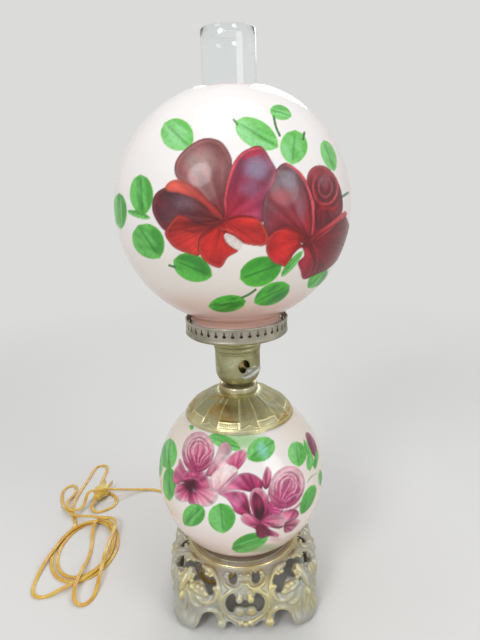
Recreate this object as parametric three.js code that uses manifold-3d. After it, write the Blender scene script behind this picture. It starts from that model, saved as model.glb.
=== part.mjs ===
// Parlor lamp: a painted glass globe on a pierced gallery, over a painted glass ball on a cast footed base.
// Millimetres, +Z up. The lamp's axis is x = y = 0, its feet stand on z = 0 and its front faces -Y.
import * as THREE from 'three';
import { mergeVertices } from 'three/addons/utils/BufferGeometryUtils.js';
import Module from 'manifold-3d';

const wasm = await Module();
wasm.setup();

// Shared clearances and overruns
const seatGap = 0.3;
const cutOverrun = 2;
const weldTolerance = 0.0005;
const half = 0.5;
const fullTurn = Math.PI * 2;
const quarterTurn = Math.PI / 2;

// Facets round each kind of piece
const bodyFacets = 32;
const baseFacets = 32;
const ringFacets = 40;
const middleFacets = 24;
const smallFacets = 16;
const tinyFacets = 10;
const screwFacets = 8;
const nutSides = 6;
const sphereSteps = 5;
const cornerSteps = 4;

// Cast base
const baseSides = 4;
const baseTopRadius = 65;
const baseHalfWidth = 86;
const baseWall = 5;
const baseHeight = 72.5;
const plateDrop = 0.3;
const plateThickness = 4;
const plateBoreGap = 0.35;

// Hollow threaded rod and what is clamped on it
const rodRadius = 4.85;
const rodBore = 3.7;
const rodReachBelow = 19.2;
const rodTip = 2.94;
const washerRadius = 14;
const washerThickness = 1.5;
const nutAcrossFlats = 17;
const nutHeight = 5.2;
const bushingRadius = 7;
const bushingHeight = 9;
const bushingLip = 4.2;
const bushingMouth = 3.5;

// Brass pan that the lower ball sits in
const panRadius = 61;
const panThickness = 1;
const panRimHeight = 1.8;
const panSpigotRadius = 35.2;
const panSpigotHeight = 4;

// Lower glass ball
const ballRadius = 102;
const ballSeatRadius = 49.47;
const ballWall = 3.5;
const ballTopRadius = 40;

// Spun cap over the ball and the ring on it
const capRimRadius = 65;
const capNeckRadius = 23;
const capRise = 29.5;
const capWall = 1.2;
const neckRingHeight = 6.7;
const neckBossRadius = 12;
const neckBossHeight = 1.7;
const neckEdge = 1.2;

// Socket husk and its oval window
const huskRadius = 26.3;
const huskFloorRadius = 14;
const huskHeight = 42.3;
const huskWall = 1;
const huskBead = 0.4;
const windowAzimuth = THREE.MathUtils.degToRad(16);
const windowHalfWidth = 7.5;
const windowHalfHeight = 9;
const windowHeight = 26.5;

// Electric socket inside the husk
const upperNutHeight = 4.2;
const socketCapHeight = 9.2;
const socketCapFloorRadius = 8;
const socketShellRadius = 17.4;
const socketShellWall = 0.8;
const socketShellLength = 47.7;
const insulatorWall = 0.8;
const insulatorLength = 44.4;
const socketBodyHeight = 18.7;
const socketFlangeHeight = 2;
const screwFlatDistance = 12.5;
const terminalRadius = 2.5;
const terminalHeight = 2.2;
const screwShellRadius = 14.4;
const screwShellWall = 0.8;
const screwShellLength = 27.7;
const contactRadius = 3.5;
const contactHole = 5;
const contactHeight = 3.2;

// Switch key
const keyAzimuth = THREE.MathUtils.degToRad(25);
const keyTilt = THREE.MathUtils.degToRad(26);
const keyRise = 22.44;
const keyShaftRadius = 1.6;
const keyShaftStart = 3;
const keyShaftEnd = 35.6;
const keyRunningGap = 0.4;
const keyBossRadius = 3.4;
const keyBossStart = 28.2;
const paddleStart = 30.4;
const paddleDepth = 10.4;
const paddleLength = 24;
const paddleThickness = 3;
const paddleWaistShare = 0.34;

// Stepped collar, gallery plate and pierced gallery ring
const collarLowRadius = 27.5;
const collarLowHeight = 6.2;
const collarHighRadius = 31;
const collarHighHeight = 12.9;
const collarWall = 1.2;
const galleryRadius = 58.5;
const galleryHeight = 17.3;
const galleryWall = 1.2;
const galleryBead = 0.7;
const galleryBeadHeight = 1.6;
const galleryLedgeHeight = 5.1;
const galleryLedgeRadius = 46;
const galleryFootRadius = 50;
const galleryFloor = 1;
const slotCount = 40;
const slotHeight = 7.2;
const slotFootWidth = 3.6;
const slotHeadWidth = 2;
const slotRise = 0.6;
const plateSheet = 1.2;
const draftHoleCount = 10;
const draftHoleRadius = 2.6;

// Glass chimney and the prongs that hold it
const chimneyBaseRadius = 38;
const chimneyBulgeRadius = 38.5;
const chimneyTopRadius = 28;
const chimneyWall = 1.8;
const chimneyLength = 312.64;
const prongCount = 6;
const prongHeight = 15;
const prongSheet = 0.8;
const prongGap = 0.5;
const prongSplitWidth = 22;
const holderInset = 4.5;

// Globe shade
const globeRadius = 127;
const globeNeckLength = 16.23;
const globeWall = 3;
const globeNeckRadius = 51;
const globeMouthGap = 6;
const globeMouthEdge = 1.8;

// Bulb
const bulbRadius = 23;
const bulbLength = 72;
const bulbNeckRadius = 11.8;
const bulbSkin = 1;
const bulbNeckSink = 6;
const bulbBaseRadius = 13.2;
const bulbBaseWall = 0.8;
const bulbBaseLength = 22.8;
const bulbTipRadius = 4;
const bulbTipHeight = 2.3;

// Cord and plug
const cordWidth = 5.2;
const cordThickness = 2.8;
const cordStep = 15.6;
const cordGap = 0.7;
const cordSlope = 0.25;
const coilStepsPerLoop = 24;
const innerCordReach = 6;
const plugLength = 33;
const plugWidth = 26;
const plugThickness = 15;
const plugTurn = THREE.MathUtils.degToRad(-12);
const plugCentre = new THREE.Vector2(-237.5, 188);
const bladeLength = 17;
const bladeHeight = 6.35;
const bladeThickness = 1.5;
const bladeSpacing = 12.7;

// Heights worked out from the seats, from the table up
const plateTop = baseHeight - plateDrop;
const plateBottom = plateTop - plateThickness;
const rodLow = plateBottom - rodReachBelow;
const washerTop = plateBottom - seatGap;
const lowerNutTop = washerTop - washerThickness - seatGap;
const panFloor = plateTop + seatGap;
const panTop = panFloor + panThickness;
const ballLow = panTop + seatGap;
const ballInnerRadius = ballRadius - ballWall;
const ballCentreHeight = ballLow + Math.sqrt(ballRadius ** 2 - ballSeatRadius ** 2);
const ballHigh = ballCentreHeight + Math.sqrt(ballRadius ** 2 - ballTopRadius ** 2);
const capInnerRim = capRimRadius - capWall - seatGap;
const capLow = ballCentreHeight + Math.sqrt(ballRadius ** 2 - (capInnerRim - seatGap) ** 2);
const capTop = capLow + capRise;
const neckRingLow = capTop + seatGap;
const neckRingTop = neckRingLow + neckRingHeight;
const huskLow = neckRingTop + neckBossHeight + seatGap;
const huskTop = huskLow + huskHeight;
const keyHeight = huskLow + keyRise;
const upperNutLow = huskLow + huskWall + seatGap;
const rodHigh = upperNutLow + upperNutHeight + rodTip;
const innerCordTop = rodHigh + innerCordReach;
const socketCapLow = upperNutLow + upperNutHeight + seatGap;
const socketCapTop = socketCapLow + socketCapHeight;
const socketLow = socketCapTop + seatGap;
const socketShellTop = socketLow + socketShellLength;
const shellInnerRadius = socketShellRadius - socketShellWall;
const insulatorRadius = shellInnerRadius - seatGap;
const flangeTop = socketLow + socketFlangeHeight;
const socketBodyRadius = insulatorRadius - insulatorWall - seatGap;
const socketBodyTop = socketLow + socketBodyHeight;
const screwShellLow = socketBodyTop + seatGap;
const bulbTipLow = screwShellLow + contactHeight + seatGap;
const bulbBaseLow = bulbTipLow + bulbTipHeight + seatGap;
const bulbBaseTop = bulbBaseLow + bulbBaseLength;
const bulbNeckLow = bulbBaseTop - bulbNeckSink;
const collarLow = huskTop + seatGap;
const collarTop = collarLow + collarLowHeight + collarHighHeight;
const collarBore = socketShellRadius + seatGap;
const plateLow = collarTop + seatGap;
const galleryPlateTop = plateLow + plateSheet;
const galleryLow = galleryPlateTop + seatGap;
const galleryTop = galleryLow + galleryHeight;
const galleryInnerRadius = galleryRadius - galleryWall;
const ledgeTop = galleryLow + galleryLedgeHeight + galleryFloor;
const globeLow = ledgeTop + seatGap;
const globeShoulder = globeLow + globeNeckLength;
const globeCentreHeight = globeShoulder + Math.sqrt(globeRadius ** 2 - globeNeckRadius ** 2);
const holderFloorTop = galleryLow + galleryFloor;
const chimneyLow = holderFloorTop + seatGap;
const prongInnerRadius = chimneyBaseRadius + prongGap;
const globeInnerMouthRadius = chimneyBulgeRadius + globeMouthGap;
const globeMouthRadius = globeInnerMouthRadius + globeMouthEdge;
const boreRadius = rodRadius + plateBoreGap;

// Materials
function material(colour, roughness, metalness, opacity = 1) {
  return new THREE.MeshStandardMaterial({
    color: colour,
    roughness,
    metalness,
    opacity,
    transparent: opacity < 1,
  });
}
const castBrass = material(0xb5ab88, 0.5, 0.6);
const agedBrass = material(0x9c8f58, 0.4, 0.8);
const oliveBrass = material(0xa39a63, 0.45, 0.7);
const steel = material(0x9a9a96, 0.35, 0.9);
const greyMetal = material(0xa8a8a0, 0.4, 0.8);
const opalGlass = material(0xf2e4dc, 0.15, 0);
const clearGlass = material(0xe4ecec, 0.05, 0, 0.3);
const frostedGlass = material(0xf6f4ea, 0.3, 0, 0.8);
const porcelain = material(0xe9e6dc, 0.3, 0);
const fibre = material(0x8a7350, 0.9, 0);
const blackPlastic = material(0x1c1b1a, 0.5, 0);
const goldPlastic = material(0xd0a030, 0.3, 0.1);
const plugPlastic = material(0xc9a227, 0.35, 0.1);

const lamp = new THREE.Group();

function place(name, geometry, finish, parent = lamp) {
  const mesh = new THREE.Mesh(geometry, finish);
  mesh.name = name;
  parent.add(mesh);
  return mesh;
}

// Six times the signed volume of a triangle soup, to tell which way its faces point
function signedVolume(positions, index) {
  const [a, b, c] = [new THREE.Vector3(), new THREE.Vector3(), new THREE.Vector3()];
  let total = 0;
  for (let i = 0; i < index.length; i += 3) {
    a.fromArray(positions, index[i] * 3);
    b.fromArray(positions, index[i + 1] * 3);
    c.fromArray(positions, index[i + 2] * 3);
    total += a.dot(b.cross(c));
  }
  return total;
}

// Joins shared corners, drops collapsed triangles and turns the faces outward
function closedGeometry(geometry) {
  const bare = new THREE.BufferGeometry();
  bare.setAttribute('position', geometry.getAttribute('position').clone());
  if (geometry.getIndex()) bare.setIndex(geometry.getIndex().clone());
  const welded = mergeVertices(bare, weldTolerance);
  const source = welded.getIndex().array;
  const kept = [];
  for (let i = 0; i < source.length; i += 3) {
    const [a, b, c] = [source[i], source[i + 1], source[i + 2]];
    if (a !== b && b !== c && c !== a) kept.push(a, b, c);
  }
  if (signedVolume(welded.getAttribute('position').array, kept) < 0) kept.reverse();
  welded.setIndex(kept);
  welded.computeVertexNormals();
  return welded;
}

function solidOf(geometry) {
  const closed = closedGeometry(geometry);
  return new wasm.Manifold(new wasm.Mesh({
    numProp: 3,
    vertProperties: new Float32Array(closed.getAttribute('position').array),
    triVerts: new Uint32Array(closed.getIndex().array),
  }));
}

function geometryOf(solid) {
  const mesh = solid.getMesh();
  const geometry = new THREE.BufferGeometry();
  geometry.setAttribute('position', new THREE.BufferAttribute(mesh.vertProperties, mesh.numProp));
  geometry.setIndex(new THREE.BufferAttribute(mesh.triVerts, 1));
  geometry.computeVertexNormals();
  return geometry;
}

function cut(geometry, ...cutters) {
  let solid = solidOf(geometry);
  for (const cutter of cutters) solid = solid.subtract(solidOf(cutter));
  return geometryOf(solid);
}

// A turned piece about the Z axis from [radius, height] pairs. A profile off the axis closes on itself.
function turned(profile, facets) {
  const points = profile.map(([radius, height]) => new THREE.Vector2(radius, height));
  const onAxis = points[0].x === 0 && points.at(-1).x === 0;
  if (!onAxis) points.push(points[0].clone());
  return closedGeometry(new THREE.LatheGeometry(points, facets).rotateX(quarterTurn));
}

function ringBand(innerRadius, outerRadius, low, high, facets) {
  return turned([
    [innerRadius, low], [outerRadius, low], [outerRadius, high], [innerRadius, high],
  ], facets);
}

function disc(radius, low, high, facets) {
  return turned([[0, low], [radius, low], [radius, high], [0, high]], facets);
}

// Points of an arc about the axis point (0, centre) between two heights, by way of its equator
function spherePoints(radius, centre, fromHeight, toHeight) {
  const start = Math.asin((fromHeight - centre) / radius);
  const end = Math.asin((toHeight - centre) / radius);
  const angles = [];
  for (let i = 0; i < sphereSteps; i += 1) angles.push(start * (1 - i / sphereSteps));
  for (let i = 0; i <= sphereSteps; i += 1) angles.push(end * i / sphereSteps);
  return angles.map((angle) => [radius * Math.cos(angle), centre + radius * Math.sin(angle)]);
}

// A solid drawn in x and z, running in y from -far to -near
function prismToFront(shape, near, far) {
  const geometry = new THREE.ExtrudeGeometry(shape, { depth: far - near, bevelEnabled: false });
  return geometry.rotateX(quarterTurn).translate(0, -near, 0);
}

function ovalShape(x, z, halfWidth, halfHeight, points) {
  const outline = new THREE.Path().absellipse(x, z, halfWidth, halfHeight, 0, fullTurn);
  return new THREE.Shape(outline.getPoints(points).slice(0, -1));
}

function boxShape(left, right, low, high) {
  return new THREE.Shape([
    new THREE.Vector2(left, low),
    new THREE.Vector2(right, low),
    new THREE.Vector2(right, high),
    new THREE.Vector2(left, high),
  ]);
}

// Cast base: a pierced shell, round at the top and square at the feet, with a plate under the pan.
// Each row is a height and a half width as shares of the base's own, and how square the section is.
const baseProfileShares = [
  [0, 0.985, 5.2],
  [0.08, 1.03, 5.1],
  [0.28, 0.99, 4.4],
  [0.5, 1.03, 3.7],
  [0.7, 1.035, 3.1],
  [0.85, 0.96, 2.5],
  [0.925, 0.85, 2.15],
];
const beadBulgeShare = 1.03;

function baseSection(height, halfWidth, squareness = 2) {
  const corners = [];
  for (let i = 0; i < baseFacets; i += 1) {
    const angle = fullTurn * i / baseFacets;
    const across = Math.abs(Math.cos(angle)) ** squareness + Math.abs(Math.sin(angle)) ** squareness;
    const reach = halfWidth / across ** (1 / squareness);
    corners.push([reach * Math.cos(angle), reach * Math.sin(angle), height]);
  }
  return corners;
}

function baseShell() {
  const outer = baseProfileShares.map(([heightShare, widthShare, squareness]) => (
    baseSection(baseHeight * heightShare, baseHalfWidth * widthShare, squareness)
  ));
  const inner = baseProfileShares.map(([heightShare, widthShare, squareness]) => (
    baseSection(baseHeight * heightShare, baseHalfWidth * widthShare - baseWall, squareness)
  ));
  const beadLow = (plateTop + baseHeight * baseProfileShares.at(-1)[0]) * half;
  const beadRadius = baseTopRadius * beadBulgeShare;
  const beadInner = panRadius + seatGap;
  outer.push(baseSection(beadLow, baseTopRadius));
  outer.push(baseSection((beadLow + baseHeight) * half, beadRadius));
  outer.push(baseSection(baseHeight, baseTopRadius));
  inner.push(baseSection(plateTop, beadInner));
  inner.push(baseSection(baseHeight, beadInner));
  const rows = [...outer, ...inner.reverse()];
  const positions = rows.flat(2);
  const index = [];
  rows.forEach((row, r) => {
    const next = (r + 1) % rows.length;
    row.forEach((corner, c) => {
      const beside = (c + 1) % baseFacets;
      const [a, b] = [r * baseFacets + c, r * baseFacets + beside];
      const [d, e] = [next * baseFacets + c, next * baseFacets + beside];
      index.push(a, b, e, a, e, d);
    });
  });
  const geometry = new THREE.BufferGeometry();
  geometry.setAttribute('position', new THREE.Float32BufferAttribute(positions, 3));
  geometry.setIndex(index);
  return geometry;
}

// Piercings of one side, in shares of the base's half width across and of its height up
const lobeShares = { x: 0.172, z: 0.572, halfWidth: 0.084, halfHeight: 0.186 };
const waistShares = { z: 0.53, halfHeight: 0.042 };
const topHoleShares = { x: 0.16, z: 0.885, halfWidth: 0.062, halfHeight: 0.042 };
const archShares = { x: 0.517, halfWidth: 0.17, height: 0.34 };
const sillShares = { x: 0.28, z: 0.09 };
const footLift = 1;
const sideHoleShares = [
  [0.66, 0.87], [0.55, 0.905], [0.43, 0.88], [0.375, 0.79],
  [0.455, 0.655], [0.52, 0.73], [0.6, 0.775], [0.7, 0.82],
];
const roundPoints = 8;
const lobePoints = 10;
const topHolePoints = 6;

function across(share) {
  return share * baseHalfWidth;
}

function up(share) {
  return share * baseHeight;
}

function sidePiercings() {
  const near = baseTopRadius * half;
  const far = baseHalfWidth + baseWall + cutOverrun;
  const toFront = (shape) => solidOf(prismToFront(shape, near, far));
  const waist = across(lobeShares.x);
  const waistHalf = up(waistShares.halfHeight);
  let middle = toFront(boxShape(
    -waist, waist, up(waistShares.z) - waistHalf, up(waistShares.z) + waistHalf,
  ));
  for (const side of [-1, 1]) {
    middle = middle.add(toFront(ovalShape(
      side * waist, up(lobeShares.z), across(lobeShares.halfWidth), up(lobeShares.halfHeight), lobePoints,
    )));
  }
  const cuts = [middle];
  for (const side of [-1, 1]) {
    cuts.push(toFront(new THREE.Shape(
      sideHoleShares.map(([x, z]) => new THREE.Vector2(side * across(x), up(z))),
    )));
    cuts.push(toFront(ovalShape(
      side * across(topHoleShares.x), up(topHoleShares.z),
      across(topHoleShares.halfWidth), up(topHoleShares.halfHeight), topHolePoints,
    )));
    cuts.push(toFront(ovalShape(
      side * across(archShares.x), 0, across(archShares.halfWidth), up(archShares.height), roundPoints,
    )));
  }
  const sill = across(sillShares.x);
  const sillReach = across(archShares.x);
  cuts.push(toFront(boxShape(-sill, sill, -cutOverrun, up(sillShares.z))));
  cuts.push(toFront(boxShape(-sillReach, sillReach, -cutOverrun, footLift)));
  return cuts;
}

function baseCasting() {
  let casting = solidOf(baseShell());
  const piercings = sidePiercings();
  for (let side = 0; side < baseSides; side += 1) {
    const turn = THREE.MathUtils.radToDeg(fullTurn * side / baseSides);
    for (const piercing of piercings) casting = casting.subtract(piercing.rotate([0, 0, turn]));
  }
  const plateRadius = baseTopRadius - baseWall * half;
  const plate = ringBand(boreRadius, plateRadius, plateBottom, plateTop, baseFacets);
  return geometryOf(casting.add(solidOf(plate)));
}
place('base_casting', baseCasting(), castBrass);

// Rod, washer, nuts and cord bushing
function hexNut(low, height) {
  const reach = nutAcrossFlats * half / Math.cos(Math.PI / nutSides);
  const corners = Array.from({ length: nutSides }, (_, i) => new THREE.Vector2(
    reach * Math.cos(fullTurn * i / nutSides), reach * Math.sin(fullTurn * i / nutSides),
  ));
  const outline = new THREE.Shape(corners);
  outline.holes.push(new THREE.Path().absarc(0, 0, boreRadius, 0, fullTurn, true));
  const geometry = new THREE.ExtrudeGeometry(outline, {
    depth: height, bevelEnabled: false, curveSegments: tinyFacets,
  });
  return closedGeometry(geometry.translate(0, 0, low));
}
place('threaded_rod', ringBand(rodBore, rodRadius, rodLow, rodHigh, smallFacets), steel);
place('base_washer', ringBand(boreRadius, washerRadius, washerTop - washerThickness, washerTop,
  smallFacets), steel);
place('base_locknut', hexNut(lowerNutTop - nutHeight, nutHeight), steel);
place('upper_locknut', hexNut(upperNutLow, upperNutHeight), steel);
const bushingLow = rodLow - seatGap - bushingLip;
place('cord_bushing', turned([
  [bushingMouth, bushingLow],
  [bushingRadius, bushingLow],
  [bushingRadius, bushingLow + bushingHeight],
  [boreRadius, bushingLow + bushingHeight],
  [boreRadius, rodLow - seatGap],
  [bushingMouth, rodLow - seatGap],
], tinyFacets), blackPlastic);

// Pan, lower ball and cap
place('seat_pan', turned([
  [boreRadius, panFloor],
  [panRadius, panFloor],
  [panRadius, panFloor + panRimHeight],
  [panRadius - panThickness, panFloor + panRimHeight],
  [panRadius - panThickness, panTop],
  [panSpigotRadius, panTop],
  [panSpigotRadius, panTop + panSpigotHeight],
  [panSpigotRadius - panThickness, panTop + panSpigotHeight],
  [panSpigotRadius - panThickness, panTop],
  [boreRadius, panTop],
], middleFacets), oliveBrass);
place('font_ball', turned([
  ...spherePoints(ballRadius, ballCentreHeight, ballLow, ballHigh),
  ...spherePoints(ballInnerRadius, ballCentreHeight, ballHigh, ballLow),
], bodyFacets), opalGlass);

// The cap's dome as shares of its rim radius across and of its rise
const capDomeShares = [
  [1, 0], [1.008, 0.055], [0.975, 0.16], [0.86, 0.43], [0.7, 0.69], [0.5, 0.9],
];
function capProfile() {
  const outside = capDomeShares.map(([radius, rise]) => [
    radius * capRimRadius, capLow + rise * capRise,
  ]);
  outside.push([capNeckRadius, capTop]);
  const inside = capDomeShares.slice(1).reverse().map(([radius, rise]) => [
    radius * capRimRadius - capWall, capLow + rise * capRise - capWall * half,
  ]);
  return [
    ...outside,
    [boreRadius, capTop],
    [boreRadius, capTop - capWall],
    [capNeckRadius, capTop - capWall],
    ...inside,
    [capInnerRim, capLow],
  ];
}
place('vase_cap', turned(capProfile(), bodyFacets), agedBrass);

place('neck_ring', turned([
  [boreRadius, neckRingLow],
  [capNeckRadius - neckEdge, neckRingLow],
  [capNeckRadius, neckRingLow + neckEdge],
  [capNeckRadius, neckRingTop - neckEdge],
  [capNeckRadius - neckEdge, neckRingTop],
  [neckBossRadius, neckRingTop],
  [neckBossRadius, neckRingTop + neckBossHeight],
  [boreRadius, neckRingTop + neckBossHeight],
], smallFacets), agedBrass);

// Husk: a spun cup with an oval window, through which the switch key's shaft comes out
const huskCurveShares = [
  [0.685, 0.03], [0.84, 0.105], [0.95, 0.225], [1, 0.38],
];
function huskProfile() {
  const curve = huskCurveShares.map(([radius, rise]) => [
    radius * huskRadius, huskLow + rise * huskHeight,
  ]);
  const inside = [...curve].reverse().map(([radius, height]) => [
    radius - huskWall, height + huskWall * half,
  ]);
  return [
    [boreRadius, huskLow],
    [huskFloorRadius, huskLow],
    ...curve,
    [huskRadius, huskTop - huskWall * 2],
    [huskRadius + huskBead, huskTop - huskWall],
    [huskRadius + huskBead, huskTop],
    [huskRadius - huskWall, huskTop],
    ...inside,
    [huskFloorRadius, huskLow + huskWall],
    [boreRadius, huskLow + huskWall],
  ];
}
// Azimuths are counted from the front, towards +X
function facing(azimuth) {
  return azimuth - quarterTurn;
}
const windowCutter = prismToFront(
  ovalShape(0, huskLow + windowHeight, windowHalfWidth, windowHalfHeight, roundPoints),
  socketShellRadius + cutOverrun, huskRadius + cutOverrun,
).rotateZ(windowAzimuth);
place('socket_husk', cut(turned(huskProfile(), middleFacets), windowCutter), oliveBrass);

// Socket: cap, porcelain body with the switch, fibre liner, outer shell, screw shell and contact
function keyBore(radius, near, far) {
  const bore = new THREE.CylinderGeometry(radius, radius, far - near, tinyFacets);
  bore.rotateZ(-quarterTurn).translate((near + far) * half, 0, keyHeight);
  return bore.rotateZ(facing(keyAzimuth));
}
const keyBoreRadius = keyShaftRadius + keyRunningGap;
place('socket_cap', turned([
  [boreRadius, socketCapLow],
  [socketCapFloorRadius, socketCapLow],
  [socketShellRadius - neckEdge, (socketCapLow + socketCapTop) * half],
  [socketShellRadius, socketCapTop - neckEdge],
  [socketShellRadius, socketCapTop],
  [shellInnerRadius - socketShellWall, socketCapTop],
  [shellInnerRadius - socketShellWall, socketCapTop - neckEdge],
  [socketCapFloorRadius - neckEdge, socketCapLow + neckEdge],
  [boreRadius, socketCapLow + neckEdge],
], smallFacets), agedBrass);

function socketBody() {
  const blank = turned([
    [0, socketLow],
    [insulatorRadius, socketLow],
    [insulatorRadius, flangeTop],
    [socketBodyRadius, flangeTop],
    [socketBodyRadius, socketBodyTop],
    [0, socketBodyTop],
  ], smallFacets);
  const flats = [-1, 1].map((side) => {
    const flat = new THREE.BoxGeometry(socketBodyRadius, socketBodyRadius * 2, socketBodyHeight);
    const x = side * (screwFlatDistance + socketBodyRadius * half);
    return flat.translate(x, 0, flangeTop + socketBodyHeight * half).rotateZ(keyAzimuth);
  });
  const bore = keyBore(keyBoreRadius, keyShaftStart - keyRunningGap, insulatorRadius + cutOverrun);
  return cut(blank, bore, ...flats);
}
place('socket_body', socketBody(), porcelain);

const terminals = new THREE.Group();
terminals.rotation.z = keyAzimuth;
terminals.position.z = (flangeTop + socketBodyTop) * half;
lamp.add(terminals);
for (const [name, side] of [['terminal_screw_left', -1], ['terminal_screw_right', 1]]) {
  const screw = new THREE.CylinderGeometry(terminalRadius, terminalRadius, terminalHeight, screwFacets);
  const mesh = place(name, closedGeometry(screw.rotateZ(quarterTurn)), agedBrass, terminals);
  mesh.position.x = side * (screwFlatDistance + seatGap + terminalHeight * half);
}

place('socket_insulator', cut(ringBand(
  insulatorRadius - insulatorWall, insulatorRadius,
  flangeTop + seatGap, flangeTop + seatGap + insulatorLength, smallFacets,
), keyBore(keyBoreRadius, keyShaftStart, socketShellRadius)), fibre);
place('socket_shell', cut(ringBand(
  shellInnerRadius, socketShellRadius, socketLow, socketShellTop, smallFacets,
), keyBore(keyBoreRadius, keyShaftStart, socketShellRadius + cutOverrun)), agedBrass);
place('screw_shell', turned([
  [contactHole, screwShellLow],
  [screwShellRadius, screwShellLow],
  [screwShellRadius, screwShellLow + screwShellLength],
  [screwShellRadius - screwShellWall, screwShellLow + screwShellLength],
  [screwShellRadius - screwShellWall, screwShellLow + screwShellWall],
  [contactHole, screwShellLow + screwShellWall],
], smallFacets), agedBrass);
place('centre_contact', disc(
  contactRadius, screwShellLow, screwShellLow + contactHeight, tinyFacets,
), agedBrass);

// Switch key: its shaft points out along the group's +X and turns about it
const key = new THREE.Group();
key.rotation.z = facing(keyAzimuth);
key.position.z = keyHeight;
lamp.add(key);
const shaftLength = keyShaftEnd - keyShaftStart;
const keyShaft = new THREE.CylinderGeometry(keyShaftRadius, keyShaftRadius, shaftLength, tinyFacets);
keyShaft.rotateZ(-quarterTurn).translate(keyShaftStart + shaftLength * half, 0, 0);
place('key_shaft', closedGeometry(keyShaft), steel, key);

function turnKey() {
  const halfLength = paddleLength * half;
  const paddleEnd = paddleStart + paddleDepth;
  const waist = paddleDepth * paddleWaistShare;
  const outline = new THREE.Shape();
  outline.moveTo(paddleStart, -keyBossRadius);
  outline.lineTo(paddleStart + waist, -halfLength);
  outline.quadraticCurveTo(paddleEnd, -halfLength, paddleEnd, -halfLength * half);
  outline.lineTo(paddleEnd, halfLength * half);
  outline.quadraticCurveTo(paddleEnd, halfLength, paddleStart + waist, halfLength);
  outline.lineTo(paddleStart, keyBossRadius);
  const paddle = new THREE.ExtrudeGeometry(outline, {
    depth: paddleThickness, bevelEnabled: false, curveSegments: cornerSteps,
  }).translate(0, 0, -paddleThickness * half).rotateX(keyTilt);
  const bossEnd = paddleStart + paddleDepth * half;
  const boss = new THREE.CylinderGeometry(keyBossRadius, keyBossRadius, bossEnd - keyBossStart, tinyFacets);
  boss.rotateZ(-quarterTurn).translate((keyBossStart + bossEnd) * half, 0, 0);
  const boreEnd = keyShaftEnd + seatGap;
  const bore = new THREE.CylinderGeometry(
    keyShaftRadius + seatGap, keyShaftRadius + seatGap, boreEnd - keyShaftStart, tinyFacets,
  ).rotateZ(-quarterTurn).translate((boreEnd + keyShaftStart) * half, 0, 0);
  return geometryOf(solidOf(paddle).add(solidOf(boss)).subtract(solidOf(bore)));
}
place('turn_key', turnKey(), greyMetal, key);

// Stepped collar, gallery plate, pierced ring and chimney holder
const stepHeight = collarLow + collarLowHeight;
place('gallery_collar', turned([
  [collarLowRadius - collarWall, collarLow],
  [collarLowRadius, collarLow],
  [collarLowRadius, stepHeight],
  [collarHighRadius, stepHeight + collarWall * half],
  [collarHighRadius, collarTop],
  [collarBore, collarTop],
  [collarBore, collarTop - collarWall],
  [collarHighRadius - collarWall, collarTop - collarWall],
  [collarHighRadius - collarWall, stepHeight + collarWall * 2],
  [collarLowRadius - collarWall, stepHeight + collarWall],
], middleFacets), oliveBrass);

function draftHoles() {
  const pitchRadius = (prongInnerRadius + prongSheet + galleryFootRadius) * half;
  return Array.from({ length: draftHoleCount }, (_, i) => {
    const hole = new THREE.CylinderGeometry(
      draftHoleRadius, draftHoleRadius, plateSheet + cutOverrun * 2, nutSides,
    );
    hole.rotateX(quarterTurn).translate(pitchRadius, 0, plateLow + plateSheet * half);
    return hole.rotateZ(fullTurn * i / draftHoleCount);
  });
}
place('gallery_plate', cut(
  ringBand(collarBore, galleryInnerRadius, plateLow, galleryPlateTop, middleFacets), ...draftHoles(),
), agedBrass);

function gallerySlots() {
  const low = ledgeTop + slotRise;
  const slot = new THREE.Shape([
    new THREE.Vector2(-slotFootWidth * half, low),
    new THREE.Vector2(slotFootWidth * half, low),
    new THREE.Vector2(slotHeadWidth * half, low + slotHeight),
    new THREE.Vector2(-slotHeadWidth * half, low + slotHeight),
  ]);
  return Array.from({ length: slotCount }, (_, i) => (
    prismToFront(slot, galleryInnerRadius - cutOverrun, galleryRadius + cutOverrun)
      .rotateZ(fullTurn * (i + half) / slotCount)
  ));
}
place('gallery_ring', cut(turned([
  [galleryFootRadius, galleryLow],
  [galleryRadius + galleryBead, galleryLow],
  [galleryRadius + galleryBead, galleryLow + galleryBeadHeight],
  [galleryRadius, galleryLow + galleryBeadHeight + galleryBead],
  [galleryRadius, galleryTop],
  [galleryInnerRadius, galleryTop],
  [galleryInnerRadius, ledgeTop],
  [galleryLedgeRadius, ledgeTop],
  [galleryLedgeRadius, ledgeTop - galleryFloor],
  [galleryInnerRadius, ledgeTop - galleryFloor],
  [galleryInnerRadius, galleryLow + galleryFloor],
  [galleryFootRadius, galleryLow + galleryFloor],
], ringFacets), ...gallerySlots()), agedBrass);

function chimneyHolder() {
  const outer = prongInnerRadius + prongSheet;
  const blank = turned([
    [chimneyBaseRadius - holderInset, galleryLow],
    [outer, galleryLow],
    [outer, galleryLow + prongHeight],
    [prongInnerRadius, galleryLow + prongHeight],
    [prongInnerRadius, holderFloorTop],
    [chimneyBaseRadius - holderInset, holderFloorTop],
  ], middleFacets);
  const splits = Array.from({ length: prongCount }, (_, i) => new THREE.BoxGeometry(
    outer, prongSplitWidth, prongHeight * 2,
  ).translate(outer, 0, holderFloorTop + galleryFloor + prongHeight).rotateZ(fullTurn * i / prongCount));
  return cut(blank, ...splits);
}
place('chimney_holder', chimneyHolder(), agedBrass);

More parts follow.
